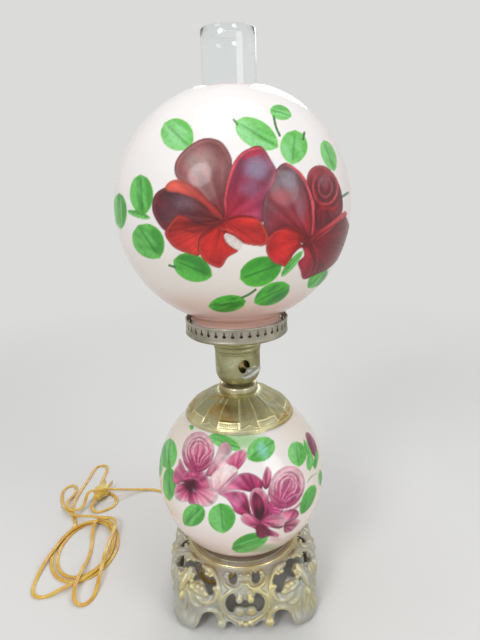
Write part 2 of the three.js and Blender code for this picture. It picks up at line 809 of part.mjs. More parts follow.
// Glass chimney: its radii from the foot up, at shares of its height
const chimneyWaistRadius = (chimneyBulgeRadius + chimneyTopRadius) * half;
const chimneyRadii = [
  chimneyBaseRadius, chimneyBaseRadius, chimneyBulgeRadius, chimneyBulgeRadius,
  chimneyWaistRadius, chimneyTopRadius, chimneyTopRadius,
];
const chimneyRiseShares = [0, 0.075, 0.15, 0.2, 0.335, 0.46, 1];
function chimneyProfile() {
  const outside = chimneyRadii.map((radius, i) => [
    radius, chimneyLow + chimneyLength * chimneyRiseShares[i],
  ]);
  const inside = [...outside].reverse().map(([radius, z]) => [radius - chimneyWall, z]);
  return [...outside, ...inside];
}
place('chimney', turned(chimneyProfile(), middleFacets), clearGlass);

// Globe shade with its straight neck
function globeProfile() {
  const innerRadius = globeRadius - globeWall;
  const innerNeckRadius = globeNeckRadius - globeWall;
  const mouth = globeCentreHeight + Math.sqrt(globeRadius ** 2 - globeMouthRadius ** 2);
  const innerMouth = globeCentreHeight + Math.sqrt(innerRadius ** 2 - globeInnerMouthRadius ** 2);
  const innerShoulder = globeCentreHeight - Math.sqrt(innerRadius ** 2 - innerNeckRadius ** 2);
  return [
    [globeNeckRadius, globeLow],
    ...spherePoints(globeRadius, globeCentreHeight, globeShoulder, mouth),
    ...spherePoints(innerRadius, globeCentreHeight, innerMouth, innerShoulder),
    [innerNeckRadius, globeLow],
  ];
}
place('globe_shade', turned(globeProfile(), bodyFacets), opalGlass);

// Bulb: solder tip, screw base and an envelope that is open at its neck
place('bulb_tip', disc(bulbTipRadius, bulbTipLow, bulbTipLow + bulbTipHeight, tinyFacets), steel);
place('bulb_base', turned([
  [0, bulbBaseLow],
  [bulbTipRadius, bulbBaseLow],
  [bulbBaseRadius, bulbBaseLow + bulbTipHeight],
  [bulbBaseRadius, bulbBaseTop],
  [bulbBaseRadius - bulbBaseWall, bulbBaseTop],
  [bulbBaseRadius - bulbBaseWall, bulbNeckLow - seatGap],
  [0, bulbNeckLow - seatGap],
], smallFacets), agedBrass);
const bulbShares = [
  [0.513, 0], [0.52, 0.16], [0.7, 0.33], [0.93, 0.5], [1, 0.66], [0.93, 0.82], [0.7, 0.93], [0.36, 0.985],
];
function bulbProfile() {
  const bulbTop = bulbNeckLow + bulbLength;
  const outside = bulbShares.map(([radius, rise]) => [
    radius * bulbRadius, bulbNeckLow + rise * bulbLength,
  ]);
  const inside = [...outside].reverse().map(([radius, z]) => [radius - bulbSkin, z - bulbSkin * half]);
  outside[0] = [bulbNeckRadius, bulbNeckLow];
  inside[inside.length - 1] = [bulbNeckRadius - bulbSkin, bulbNeckLow];
  return [...outside, [0, bulbTop], [0, bulbTop - bulbSkin], ...inside];
}
place('bulb_glass', turned(bulbProfile(), tinyFacets), frostedGlass);

// Cord. Its centreline runs from the plug to the lamp: the tail and the lead are laid by hand,
// and the loops between them follow the table of loops below.
const plugLow = cordThickness + seatGap;
const cordRest = cordThickness * half;
const cordSideClearance = cordWidth + cordGap;
const cordStackClearance = cordThickness + cordGap;
const cordTop = plugLow + plugThickness + seatGap * 2 + cordRest;
const plugAxis = new THREE.Vector2(Math.sin(-plugTurn), Math.cos(plugTurn));
const plugMiddle = plugLow + plugThickness * half;
const plugEntry = plugCentre.clone().addScaledVector(plugAxis, -(plugLength * half + seatGap));
const tailPoints = [
  [-245, 159.5, 6], [-243, 151.5, 2.8], [-235, 148, 1.4], [-223.5, 151, 1.4], [-213.5, 159, 1.4],
  [-208.5, 171, 1.4], [-211, 184, 1.4], [-219.5, 194.5, 1.4], [-230.5, 203.5, 1.4], [-241, 214, 1.4],
  [-246.5, 228, 1.4], [-247.5, 243, 1.4], [-247, 258, 1.4], [-247, 273, 1.4], [-250.5, 285, 1.4],
  [-259.5, 290, 1.4], [-268, 284.5, 1.4], [-271, 272, 1.4], [-272, 255, 1.4], [-274.5, 235, 1.4],
  [-277, 212, 1.4], [-278.5, 190, 1.4], [-278, 168, 1.4], [-273, 148, 1.4], [-266, 131, 1.4],
  [-261, 117, 1.4],
];
const leadPoints = [
  [-228, 120.5, 1.4], [-245, 126, 1.4], [-262, 134, 1.4], [-278, 146, 1.4], [-291, 162, 1.4],
  [-301, 182, 1.4], [-307, 203, 1.4], [-306, 218, 1.4], [-297, 226, 1.4], [-287.5, 219, 1.4],
  [-285.5, 203, 1.4], [-287, 184, 1.4], [-287, 166, 1.4], [-281, 151, 1.4], [-270, 144.5, 1.4],
  [-260, 149, 3], [-257.5, 160, 6], [-256.5, 170, 14], [-252, 178, cordTop], [-241, 181.5, cordTop],
  [-228, 183.5, cordTop], [-219, 185.5, 18.6], [-204, 191, 13.5], [-190, 198, 8], [-175, 204, 4],
  [-160, 206, 2], [-145, 203, 1.4], [-130, 196, 1.4], [-116, 185, 1.4], [-103, 171, 1.4], [-91, 154, 1.4],
  [-79, 136, 1.4], [-67, 119, 1.4], [-56, 104, 1.4], [-48, 90, 1.4], [-44.5, 76, 1.4], [-44, 60, 1.4],
  [-47, 44, 1.4], [-53, 30, 1.4], [-58, 16, 1.4], [-57, 2, 1.4], [-48.5, -8, 1.4], [-36, -10.5, 1.6],
  [-24, -8.5, 4], [-13, -5, 9.5], [-4.5, -1.8, 18], [0, 0, 28],
];

// Each loop: the middle, half width and half depth, how blunt its ends are, and a bulge towards an angle
const loops = [
  { x: -229, y: 62, halfWidth: 45, halfDepth: 64, bluntShare: 0, bulge: 0 },
  { x: -229, y: 62, halfWidth: 37.5, halfDepth: 56, bluntShare: 0, bulge: 0 },
  { x: -230, y: 60, halfWidth: 41, halfDepth: 61, bluntShare: 0, bulge: 38 },
  { x: -207, y: 38, halfWidth: 16, halfDepth: 80, bluntShare: 0.22, bulge: 0 },
];
const bulgeAngle = THREE.MathUtils.degToRad(237);
const bulgeSharpness = 3;
const bluntOrder = 3;
const wholeLoops = 3;
const coilStart = THREE.MathUtils.degToRad(140);
const coilEnd = THREE.MathUtils.degToRad(450) + fullTurn * wholeLoops;
const loopFoot = THREE.MathUtils.degToRad(270);
const mixShares = [0.25, 0.75];

function coilPoint(angle) {
  const along = THREE.MathUtils.clamp((angle - loopFoot) / fullTurn, 0, loops.length - 1);
  const lower = Math.min(Math.floor(along), loops.length - 2);
  const mix = THREE.MathUtils.smoothstep(along - lower, ...mixShares);
  const value = (name) => THREE.MathUtils.lerp(loops[lower][name], loops[lower + 1][name], mix);
  const lobe = value('bulge') * Math.max(0, Math.cos(angle - bulgeAngle)) ** bulgeSharpness;
  const blunt = value('bluntShare');
  const sway = Math.cos(angle) - blunt * Math.cos(bluntOrder * angle);
  return new THREE.Vector3(
    value('x') + value('halfWidth') * sway + lobe * Math.cos(bulgeAngle),
    value('y') + value('halfDepth') * Math.sin(angle) + lobe * Math.sin(bulgeAngle),
    cordRest,
  );
}

// Points one step apart along a smooth curve through points laid by hand
function laid(points) {
  const curve = new THREE.CatmullRomCurve3(points, false, 'catmullrom');
  const steps = Math.round(curve.getLength() / cordStep);
  return curve.getSpacedPoints(steps);
}

// Distance in plan between two straight stretches
const distanceParts = 6;
function planDistance(a, b, c, d) {
  let least = Infinity;
  for (let i = 0; i <= distanceParts; i += 1) {
    const along = i / distanceParts;
    const [x, y] = [a.x + (b.x - a.x) * along, a.y + (b.y - a.y) * along];
    const [dx, dy] = [d.x - c.x, d.y - c.y];
    const share = THREE.MathUtils.clamp(((x - c.x) * dx + (y - c.y) * dy) / (dx * dx + dy * dy), 0, 1);
    least = Math.min(least, Math.hypot(x - c.x - dx * share, y - c.y - dy * share));
  }
  return least;
}

// Lifts each stretch over the stretches that were laid before it, in long low humps
function settle(points) {
  const lifts = points.map(() => 0);
  const height = (i) => points[i].z + lifts[i];
  const run = (i) => Math.hypot(points[i].x - points[i - 1].x, points[i].y - points[i - 1].y);
  const rise = (i) => run(i) * cordSlope;
  for (let i = 1; i < points.length; i += 1) {
    for (let j = 0; j + 1 < i - 2; j += 1) {
      const apart = planDistance(points[i - 1], points[i], points[j], points[j + 1]);
      if (apart > cordSideClearance) continue;
      const needed = Math.max(height(j), height(j + 1)) + cordStackClearance;
      lifts[i - 1] = Math.max(lifts[i - 1], needed - points[i - 1].z);
      lifts[i] = Math.max(lifts[i], needed - points[i].z);
    }
    lifts[i] = Math.max(lifts[i], lifts[i - 1] - rise(i));
    for (let k = i; k > 0; k -= 1) lifts[k - 1] = Math.max(lifts[k - 1], lifts[k] - rise(k));
  }
  points.forEach((point, i) => { point.z += lifts[i]; });
  return points;
}

const plugExit = new THREE.Vector3(plugEntry.x, plugEntry.y, plugMiddle);
const plugDirection = new THREE.Vector3(-plugAxis.x, -plugAxis.y, 0);
const lampExit = new THREE.Vector3(0, 0, bushingLow - seatGap);
const lampDirection = new THREE.Vector3(0, 0, 1);
const vectors = (list) => list.map(([x, y, z]) => new THREE.Vector3(x, y, z));
const coilSteps = Math.round((coilEnd - coilStart) / fullTurn * coilStepsPerLoop);
const coilPoints = Array.from({ length: coilSteps + 1 }, (_, i) => (
  coilPoint(coilStart + (coilEnd - coilStart) * i / coilSteps)
));
const plugLeave = plugExit.clone().addScaledVector(plugDirection, cordWidth);
const tail = laid([plugExit, plugLeave, ...vectors(tailPoints), coilPoints[0]]);
const lead = laid([coilPoints.at(-1), ...vectors(leadPoints), lampExit]);
const route = settle([...tail.slice(0, -1), ...coilPoints, ...lead.slice(1)]);
const coilFrom = tail.length - 1;
const coilTo = coilFrom + coilSteps;

// Directions along the route, and the side direction that keeps the cord's flat face down
function directionAt(i) {
  if (i === 0) return plugDirection.clone();
  if (i === route.length - 1) return lampDirection.clone();
  return route[i + 1].clone().sub(route[i - 1]).normalize();
}
const directions = route.map((point, i) => directionAt(i));
const sides = [];
const upward = new THREE.Vector3(0, 0, 1);
for (let i = 0; i < route.length; i += 1) {
  const direction = directions[i];
  const level = Math.abs(direction.z) < Math.SQRT1_2;
  const side = level ? upward.clone().cross(direction) : sides[i - 1].clone();
  side.addScaledVector(direction, -side.dot(direction)).normalize();
  sides.push(side);
}

// A stretch of the route as a curve whose flat face stays down, with a gap at the ends that meet another
class CordStretch extends THREE.Curve {
  constructor(from, to) {
    super();
    this.from = from;
    this.points = route.slice(from, to + 1).map((point) => point.clone());
    if (from > 0) this.points[0].addScaledVector(directions[from], seatGap * half);
    if (to < route.length - 1) this.points.at(-1).addScaledVector(directions[to], -seatGap * half);
  }

  getPointAt(share) {
    return this.points[Math.round(share * (this.points.length - 1))].clone();
  }

  computeFrenetFrames() {
    const tangents = this.points.map((point, i) => directions[this.from + i]);
    const normals = this.points.map((point, i) => sides[this.from + i]);
    const binormals = tangents.map((tangent, i) => tangent.clone().cross(normals[i]));
    return { tangents, normals, binormals };
  }
}

// A flat cord section from the corners of one quadrant, in shares of its half width and half thickness
function cordSection(quadrantShares) {
  const quadrant = quadrantShares.map(([x, y]) => [x * cordWidth * half, y * cordThickness * half]);
  const turnedBack = [...quadrant].reverse();
  const corners = [
    ...quadrant,
    ...turnedBack.map(([x, y]) => [-x, y]),
    ...quadrant.map(([x, y]) => [-x, -y]),
    ...turnedBack.map(([x, y]) => [x, -y]),
  ];
  const distinct = corners.filter(([x, y], i) => {
    const [beforeX, beforeY] = corners.at(i - 1);
    return x !== beforeX || Math.abs(y) !== Math.abs(beforeY) || y * beforeY < 0;
  });
  return new THREE.Shape(distinct.map(([x, y]) => new THREE.Vector2(x, y)));
}
const freeSection = cordSection([[1, 0.45], [0.7, 1]]);
const loopSection = cordSection([[1, 0], [0.5, 1]]);

function cordTube(from, to, section) {
  const stretch = new CordStretch(from, to);
  return closedGeometry(new THREE.ExtrudeGeometry(section, {
    steps: to - from, extrudePath: stretch, bevelEnabled: false,
  }));
}
const coilGeometry = cordTube(coilFrom, coilTo, loopSection);
place('cord_tail', cordTube(0, coilFrom, freeSection), goldPlastic);
place('cord_coil', coilGeometry, goldPlastic);
place('cord_lead', cordTube(coilTo, route.length - 1, freeSection), goldPlastic);

// The coil's least gap to itself, between the corners of sections that aren't close neighbours
const neighbourSteps = 4;
function leastSelfGap() {
  const stretch = new CordStretch(coilFrom, coilTo);
  const frames = stretch.computeFrenetFrames();
  const outline = loopSection.getPoints();
  const rings = stretch.points.map((point, i) => outline.map(({ x, y }) => (
    point.clone().addScaledVector(frames.normals[i], x).addScaledVector(frames.binormals[i], y)
  )));
  let least = Infinity;
  rings.forEach((ring, i) => {
    const others = rings.slice(i + neighbourSteps).flat();
    ring.forEach((a) => others.forEach((b) => {
      least = Math.min(least, a.distanceTo(b));
    }));
  });
  return least;
}
const routeLength = route.slice(1).reduce((sum, point, i) => sum + point.distanceTo(route[i]), 0);
console.log(`coil's least gap to itself ${leastSelfGap().toFixed(2)} mm`);
const freeSteps = tail.length + lead.length - 2;
console.log(`free cord ${routeLength.toFixed(0)} mm, ${freeSteps} steps outside the coil`);

// Cord inside the rod, from the bushing to the socket
const innerCord = new THREE.ExtrudeGeometry(freeSection, {
  depth: innerCordTop - bushingLow, bevelEnabled: false,
});
place('cord_inner', closedGeometry(innerCord.translate(0, 0, bushingLow)), goldPlastic);

// Plug: a waisted grip with two flat blades
const plug = new THREE.Group();
plug.position.set(plugCentre.x, plugCentre.y, 0);
plug.rotation.z = plugTurn;
lamp.add(plug);
const plugEdgeShares = [[0.8, -1], [0.8, -0.5], [1, 0.25], [1, 0.5], [0.8, 1]];
function plugBody() {
  const right = plugEdgeShares.map(([x, y]) => [x * plugWidth * half, y * plugLength * half]);
  const left = [...right].reverse().map(([x, y]) => [-x, y]);
  const outline = new THREE.Shape([...right, ...left].map(([x, y]) => new THREE.Vector2(x, y)));
  const body = new THREE.ExtrudeGeometry(outline, { depth: plugThickness, bevelEnabled: false });
  return closedGeometry(body.translate(0, 0, plugLow));
}
place('plug_body', plugBody(), plugPlastic, plug);
for (const [name, side] of [['plug_blade_left', -1], ['plug_blade_right', 1]]) {
  const blade = new THREE.BoxGeometry(bladeThickness, bladeLength, bladeHeight);
  blade.translate(side * bladeSpacing * half, plugLength * half + seatGap + bladeLength * half, plugMiddle);
  place(name, closedGeometry(blade), agedBrass, plug);
}

export default lamp;
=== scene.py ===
# The parlor lamp dressed over its frame: camera and cord first, then brass, glass, cast base and light.
import math

import bmesh
import bpy
import numpy as np
from mathutils import Matrix, Vector


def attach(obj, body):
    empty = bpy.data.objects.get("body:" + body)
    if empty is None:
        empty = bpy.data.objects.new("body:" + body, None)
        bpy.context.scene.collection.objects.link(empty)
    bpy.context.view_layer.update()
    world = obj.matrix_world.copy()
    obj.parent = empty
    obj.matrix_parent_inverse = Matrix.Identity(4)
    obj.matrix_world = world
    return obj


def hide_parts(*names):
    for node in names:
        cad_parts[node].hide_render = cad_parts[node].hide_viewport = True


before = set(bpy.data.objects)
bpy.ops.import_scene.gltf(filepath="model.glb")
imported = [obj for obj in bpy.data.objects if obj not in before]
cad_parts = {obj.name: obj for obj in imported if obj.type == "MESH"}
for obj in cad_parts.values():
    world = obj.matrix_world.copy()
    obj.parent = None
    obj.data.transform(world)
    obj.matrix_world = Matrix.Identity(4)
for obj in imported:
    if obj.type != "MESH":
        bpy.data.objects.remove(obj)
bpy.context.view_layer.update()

MM = 0.001
TURN = 2 * math.pi

# Camera, as fitted to the photograph
IMAGE_WIDTH = 480
IMAGE_HEIGHT = 640
FOCAL_PIXELS = 520
SENSOR_MM = 36
CAMERA_PLACE = Vector((0, -0.581, 0.5175))
CAMERA_PITCH = math.radians(15.5)
CAMERA_ROLL = math.radians(1.64)
CAMERA_YAW = math.radians(0.4)


def add_camera():
    data = bpy.data.cameras.new("camera")
    data.sensor_width = SENSOR_MM
    data.lens = SENSOR_MM * FOCAL_PIXELS / IMAGE_HEIGHT
    camera = bpy.data.objects.new("camera", data)
    bpy.context.scene.collection.objects.link(camera)
    turn = Matrix.Rotation(-CAMERA_YAW, 4, "Z") @ Matrix.Rotation(TURN / 4 - CAMERA_PITCH, 4, "X")
    camera.matrix_world = Matrix.Translation(CAMERA_PLACE) @ turn @ Matrix.Rotation(-CAMERA_ROLL, 4, "Z")
    bpy.context.scene.camera = camera
    return camera.matrix_world.copy()


camera_matrix = add_camera()


def photo_pixels(points):
    """The photograph's pixel of each point, in metres."""
    turn = np.array(camera_matrix.to_3x3())
    local = (points - np.array(CAMERA_PLACE)) @ turn
    depth = -local[:, 2]
    across = IMAGE_WIDTH / 2 + FOCAL_PIXELS * local[:, 0] / depth
    down = IMAGE_HEIGHT / 2 - FOCAL_PIXELS * local[:, 1] / depth
    return np.column_stack([across, down])


# Meshes are made from millimetre points
WELD = 1e-6
CORNER_STEPS = 4
CORNER_REACH_SHARE = 0.45
LEAST_CORNER = 0.01
LEAST_SIDE = 0.05


def smooth(mesh, sharp_degrees):
    mesh.polygons.foreach_set("use_smooth", [True] * len(mesh.polygons))
    mesh.set_sharp_from_angle(angle=math.radians(sharp_degrees))


def add_mesh(name, vertices, faces, sharp_degrees=40, weld=True, attributes=None):
    """A smooth mesh object. Attributes are one value or colour for each point."""
    mesh = bpy.data.meshes.new(name)
    mesh.from_pydata((np.asarray(vertices) * MM).tolist(), [], faces)
    for key, values in (attributes or {}).items():
        values = np.asarray(values, float)
        kind = "FLOAT" if values.ndim == 1 else "FLOAT_COLOR"
        layer = mesh.attributes.new(key, kind, "POINT")
        layer.data.foreach_set("value" if kind == "FLOAT" else "color", values.ravel())
    obj = bpy.data.objects.new(name, mesh)
    bpy.context.scene.collection.objects.link(obj)
    shape = bmesh.new()
    shape.from_mesh(mesh)
    if weld:
        bmesh.ops.remove_doubles(shape, verts=shape.verts, dist=WELD)
    bmesh.ops.recalc_face_normals(shape, faces=shape.faces)
    shape.to_mesh(mesh)
    shape.free()
    smooth(mesh, sharp_degrees)
    return obj


def grid_faces(rows, columns, wrap_rows=False):
    """Quads over rings of points that are counted ring by ring."""
    row = np.arange(rows if wrap_rows else rows - 1)
    r, c = np.meshgrid(row, np.arange(columns), indexing="ij")
    beside, above = (c + 1) % columns, (r + 1) % rows
    corners = [r * columns + c, r * columns + beside, above * columns + beside, above * columns + c]
    return np.stack(corners, axis=-1).reshape(-1, 4).tolist()


def stack_faces(rows, columns):
    """Faces of a stack of rings whose two ends are closed."""
    first = list(range(columns))[::-1]
    last = list(range((rows - 1) * columns, rows * columns))
    return [*grid_faces(rows, columns), first, last]


def joined(parts):
    """One list of vertices and faces from several."""
    vertices, faces, start = [], [], 0
    for points, polygons in parts:
        vertices.append(np.asarray(points, float))
        faces.extend([[corner + start for corner in face] for face in polygons])
        start += len(points)
    return np.concatenate(vertices), faces


def round_points(profile, segments):
    """Rings of points round the upright axis, from a profile of (radius, height)."""
    radius, height = np.array(profile, float).T
    angle = np.arange(segments) * TURN / segments
    x = radius[:, None] * np.cos(angle)
    y = radius[:, None] * np.sin(angle)
    z = np.repeat(height[:, None], segments, axis=1)
    return np.stack([x, y, z], axis=-1).reshape(-1, 3)


def lathe(name, profile, segments=96, sharp_degrees=50):
    """A turned mesh, whose profile closes on itself or starts and ends on the axis."""
    on_axis = profile[0][0] == 0 and profile[-1][0] == 0
    faces = grid_faces(len(profile), segments, wrap_rows=not on_axis)
    return add_mesh(name, round_points(profile, segments), faces, sharp_degrees)


def soften(profile, radius, closed=True):
    """A profile whose corners are rounded off, as far as their neighbours leave room."""
    points = [np.array(point, float) for point in profile]
    result = []
    for i, corner in enumerate(points):
        is_end = not closed and i in (0, len(points) - 1)
        into = points[i - 1] - corner
        out = points[(i + 1) % len(points)] - corner
        lengths = np.linalg.norm(into), np.linalg.norm(out)
        reach = min(radius, *(CORNER_REACH_SHARE * length for length in lengths))
        if is_end or corner[0] == 0 or reach < LEAST_CORNER:
            result.append(corner)
            continue
        first = corner + into / lengths[0] * reach
        last = corner + out / lengths[1] * reach
        for t in np.linspace(0, 1, CORNER_STEPS):
            result.append((1 - t) ** 2 * first + 2 * t * (1 - t) * corner + t ** 2 * last)
    return result


def sphere_arc(radius, centre, low, high, steps):
    start, end = math.asin((low - centre) / radius), math.asin((high - centre) / radius)
    return [(radius * math.cos(a), centre + radius * math.sin(a)) for a in np.linspace(start, end, steps)]


def table_at(rows, heights):
    """Smooth values at the heights given, from rows that start with a height."""
    rows = np.array(rows, float)
    place, values = rows[:, 0], rows[:, 1:]
    slope = np.gradient(values, place, axis=0)
    i = np.clip(np.searchsorted(place, heights, side="right") - 1, 0, len(place) - 2)
    span = (place[i + 1] - place[i])[..., None]
    t = (np.clip(heights, place[0], place[-1]) - place[i])[..., None] / span
    hermite = [2 * t ** 3 - 3 * t ** 2 + 1, t ** 3 - 2 * t ** 2 + t, 3 * t ** 2 - 2 * t ** 3, t ** 3 - t ** 2]
    return (hermite[0] * values[i] + hermite[1] * span * slope[i]
            + hermite[2] * values[i + 1] + hermite[3] * span * slope[i + 1])


def spline(a, b, c, d, t):
    """The point at a share t of the way from b to c, on a smooth line through a, b, c and d."""
    square, cube = 2 * a - 5 * b + 4 * c - d, 3 * b - a - 3 * c + d
    return 0.5 * (2 * b + (c - a) * t + square * t ** 2 + cube * t ** 3)


def closed_curve(points, steps):
    """A smooth closed outline through a few points."""
    points = np.array(points, float)
    result = []
    for i in range(len(points)):
        near = [points[(i + k) % len(points)] for k in (-1, 0, 1, 2)]
        result += [spline(*near, t) for t in np.arange(steps) / steps]
    return np.array(result)


def open_curve(points, steps):
    """A smooth open line through a few points."""
    points = np.array(points, float)
    ends = [2 * points[0] - points[1], *points, 2 * points[-1] - points[-2]]
    result = []
    for i in range(len(points) - 1):
        result += [spline(*ends[i:i + 4], t) for t in np.arange(steps) / steps]
    return np.array([*result, points[-1]])


def tube(path, section, sides):
    """A tube with closed ends along a path. The section gives each step's outline across and up."""
    path = np.asarray(path, float)
    tangents = np.gradient(path, axis=0)
    tangents /= np.linalg.norm(tangents, axis=1)[:, None]
    rings = []
    for i, (point, tangent) in enumerate(zip(path, tangents)):
        side = sides[i] - tangent * np.dot(sides[i], tangent)
        if np.linalg.norm(side) < LEAST_SIDE:
            side = np.cross(tangent, [1.0, 0.0, 0.0])
        side = side / np.linalg.norm(side)
        outline = section(i / (len(path) - 1))
        rings.append(point + outline[:, :1] * side + outline[:, 1:] * np.cross(tangent, side))
    return np.concatenate(rings), stack_faces(len(rings), len(rings[0]))


def closed_tube(path, radius, points):
    """A round tube along a closed path."""
    path = np.asarray(path, float)
    tangent = np.roll(path, -1, axis=0) - np.roll(path, 1, axis=0)
    tangent /= np.linalg.norm(tangent, axis=1)[:, None]
    out = path - path.mean(axis=0)
    out -= tangent * np.sum(out * tangent, axis=1)[:, None]
    out /= np.linalg.norm(out, axis=1)[:, None]
    other = np.cross(tangent, out)
    angle = np.arange(points) * TURN / points
    ring = out[:, None, :] * np.cos(angle)[None, :, None] + other[:, None, :] * np.sin(angle)[None, :, None]
    vertices = (path[:, None, :] + ring * radius).reshape(-1, 3)
    return vertices, grid_faces(len(path), points, wrap_rows=True)


def turned_about_axis(points, angle):
    cosine, sine = math.cos(angle), math.sin(angle)
    return np.asarray(points) @ np.array([[cosine, sine, 0], [-sine, cosine, 0], [0, 0, 1]])


def front_direction(azimuth):
    """The outward direction at an azimuth, which is counted from the front towards +X."""
    return np.array([math.sin(azimuth), -math.cos(azimuth), 0])


def prism(outline, direction, near, far):
    """A closed prism over an outline of (across, height), between two depths along a level direction."""
    across = np.array([-direction[1], direction[0], 0])
    flat = [across * x + np.array([0, 0, z]) for x, z in outline]
    vertices = [point + direction * depth for depth in (near, far) for point in flat]
    return np.array(vertices), stack_faces(2, len(flat))


def evaluated(obj):
    """A new mesh of the object with its modifiers applied."""
    graph = bpy.context.evaluated_depsgraph_get()
    return bpy.data.meshes.new_from_object(obj.evaluated_get(graph))


def read_back(mesh):
    """A mesh's vertices and faces."""
    points = np.empty(len(mesh.vertices) * 3)
    mesh.vertices.foreach_get("co", points)
    return points.reshape(-1, 3) / MM, [list(face.vertices) for face in mesh.polygons]


def pierce(obj, cutters, sharp_degrees=35):
    """Cuts closed shapes out of a closed mesh."""
    cutter = add_mesh("cutter", *joined(cutters))
    modifier = obj.modifiers.new("pierce", "BOOLEAN")
    modifier.operation = "DIFFERENCE"
    modifier.solver = "EXACT"
    modifier.object = cutter
    obj.data = evaluated(obj)
    obj.modifiers.clear()
    bpy.data.objects.remove(cutter)
    smooth(obj.data, sharp_degrees)


# Materials
NOISE_LOW = 0.3
NOISE_HIGH = 0.7


class Finish:
    """A procedural material that is built node by node."""

    def __init__(self, name, **constants):
        self.material = bpy.data.materials.new(name)
        self.material.use_nodes = True
        self.tree = self.material.node_tree
        self.shader = self.tree.nodes["Principled BSDF"]
        for key, value in constants.items():
            self.shader.inputs[key.replace("_", " ")].default_value = value
        self.place = self.tree.nodes.new("ShaderNodeTexCoord").outputs["Object"]

    def feed(self, socket, value):
        if isinstance(value, bpy.types.NodeSocket):
            self.tree.links.new(value, socket)
        elif isinstance(value, tuple) and len(socket.default_value) == 4:
            socket.default_value = (*value, 1)
        else:
            socket.default_value = value

    def set(self, key, value):
        self.feed(self.shader.inputs[key], value)

    def node(self, kind, feeds, **settings):
        node = self.tree.nodes.new("ShaderNode" + kind)
        for key, value in settings.items():
            setattr(node, key, value)
        for key, value in feeds.items():
            self.feed(node.inputs[key], value)
        return node

    def noise(self, scale, detail=4, roughness=0.55, distortion=0, stretch=None):
        vector = self.place
        if stretch:
            vector = self.node("Mapping", {"Vector": vector, "Scale": stretch}).outputs["Vector"]
        feeds = {"Vector": vector, "Scale": scale, "Detail": detail, "Roughness": roughness,
                 "Distortion": distortion}
        return self.node("TexNoise", feeds).outputs["Fac"]

    def ramp(self, value, low, high, start=0.0, end=1.0):
        feeds = {"Value": value, "From Min": low, "From Max": high, "To Min": start, "To Max": end}
        return self.node("MapRange", feeds, clamp=True, interpolation_type="SMOOTHSTEP").outputs["Result"]

    def mix(self, factor, first, second, blend="MIX"):
        feeds = {0: factor, 6: first, 7: second}
        return self.node("Mix", feeds, data_type="RGBA", blend_type=blend).outputs[2]

    def stain(self, value, low, high, first, second):
        """The first colour, which turns to the second as the value goes from low to high."""
        return self.mix(self.ramp(value, low, high), first, second)

    def maths(self, operation, first, second):
        return self.node("Math", {0: first, 1: second}, operation=operation).outputs[0]

    def times(self, first, second):
        return self.maths("MULTIPLY", first, second)

    def attribute(self, name, output="Fac"):
        return self.node("Attribute", {}, attribute_name=name).outputs[output]

    def set_roughness(self, value, smoothest, roughest):
        self.set("Roughness", self.ramp(value, NOISE_LOW, NOISE_HIGH, smoothest, roughest))

    def bump(self, height, distance_mm, strength):
        feeds = {"Height": height, "Strength": strength, "Distance": distance_mm * MM}
        self.set("Normal", self.node("Bump", feeds).outputs["Normal"])


def brass(name, plain, dark, pale, smoothest=0.26, roughest=0.5, metallic=0.9):
    """Old brass: stained in broad clouds, paler where it is rubbed, with fine scratches and pits."""
    finish = Finish(name, Metallic=metallic)
    clouds = finish.noise(28, detail=6, roughness=0.62, distortion=0.6)
    specks = finish.noise(310, detail=3)
    scratches = finish.noise(160, detail=2, stretch=(1, 1, 9))
    colour = finish.stain(clouds, 0.42, 0.68, plain, dark)
    colour = finish.stain(clouds, 0.45, 0.3, colour, pale)
    finish.set("Base Color", finish.stain(specks, 0.62, 0.75, colour, dark))
    finish.set_roughness(clouds, smoothest, roughest)
    finish.bump(finish.maths("ADD", scratches, specks), 0.05, 0.35)
    return finish


def plain_metal(name, colour, dark, smoothest, metallic=0.95):
    """Metal with a lengthwise grain and faint clouds."""
    finish = Finish(name, Metallic=metallic)
    grain = finish.noise(240, stretch=(1, 1, 6))
    clouds = finish.noise(45)
    finish.set("Base Color", finish.stain(clouds, 0.4, 0.7, colour, dark))
    finish.set_roughness(grain, smoothest, smoothest + 0.15)
    finish.bump(grain, 0.04, 0.3)
    return finish


def plain_solid(name, colour, dark, smoothest):
    """Porcelain, fibre or plastic, slightly clouded."""
    finish = Finish(name)
    clouds = finish.noise(90, detail=5)
    finish.set("Base Color", finish.stain(clouds, 0.35, 0.7, colour, dark))
    finish.set_roughness(clouds, smoothest, smoothest + 0.12)
    finish.bump(clouds, 0.06, 0.3)
    return finish


def amber_plastic(name, light, deep, transmission, smoothest):
    """Clear gold plastic over its copper, darker in broad clouds and in fine streaks."""
    finish = Finish(name, Transmission_Weight=transmission, IOR=1.47, Coat_Weight=0.8, Coat_Roughness=0.05)
    clouds = finish.noise(60)
    streaks = finish.noise(500, detail=2)
    colour = finish.stain(clouds, 0.35, 0.7, light, deep)
    finish.set("Base Color", finish.stain(streaks, 0.5, 0.8, colour, deep))
    finish.set_roughness(clouds, smoothest, smoothest + 0.14)
    finish.bump(streaks, 0.03, 0.15)
    return finish


def clear_glass(name):
    """Clear glass with the faintest tint and haze."""
    finish = Finish(name, Transmission_Weight=1.0, IOR=1.45)
    clouds = finish.noise(14, detail=2)
    finish.set("Base Color", finish.stain(clouds, 0.3, 0.8, (0.955, 0.98, 0.98), (0.99, 1.0, 1.0)))
    finish.set("Roughness", finish.ramp(clouds, 0.4, 0.8, 0.0, 0.02))
    return finish


def frosted_glass(name):
    finish = Finish(name, Transmission_Weight=0.35, IOR=1.45)
    grain = finish.noise(400, detail=3)
    finish.set("Base Color", finish.mix(grain, (0.94, 0.93, 0.90), (0.88, 0.87, 0.84)))
    finish.set_roughness(grain, 0.3, 0.42)
    return finish


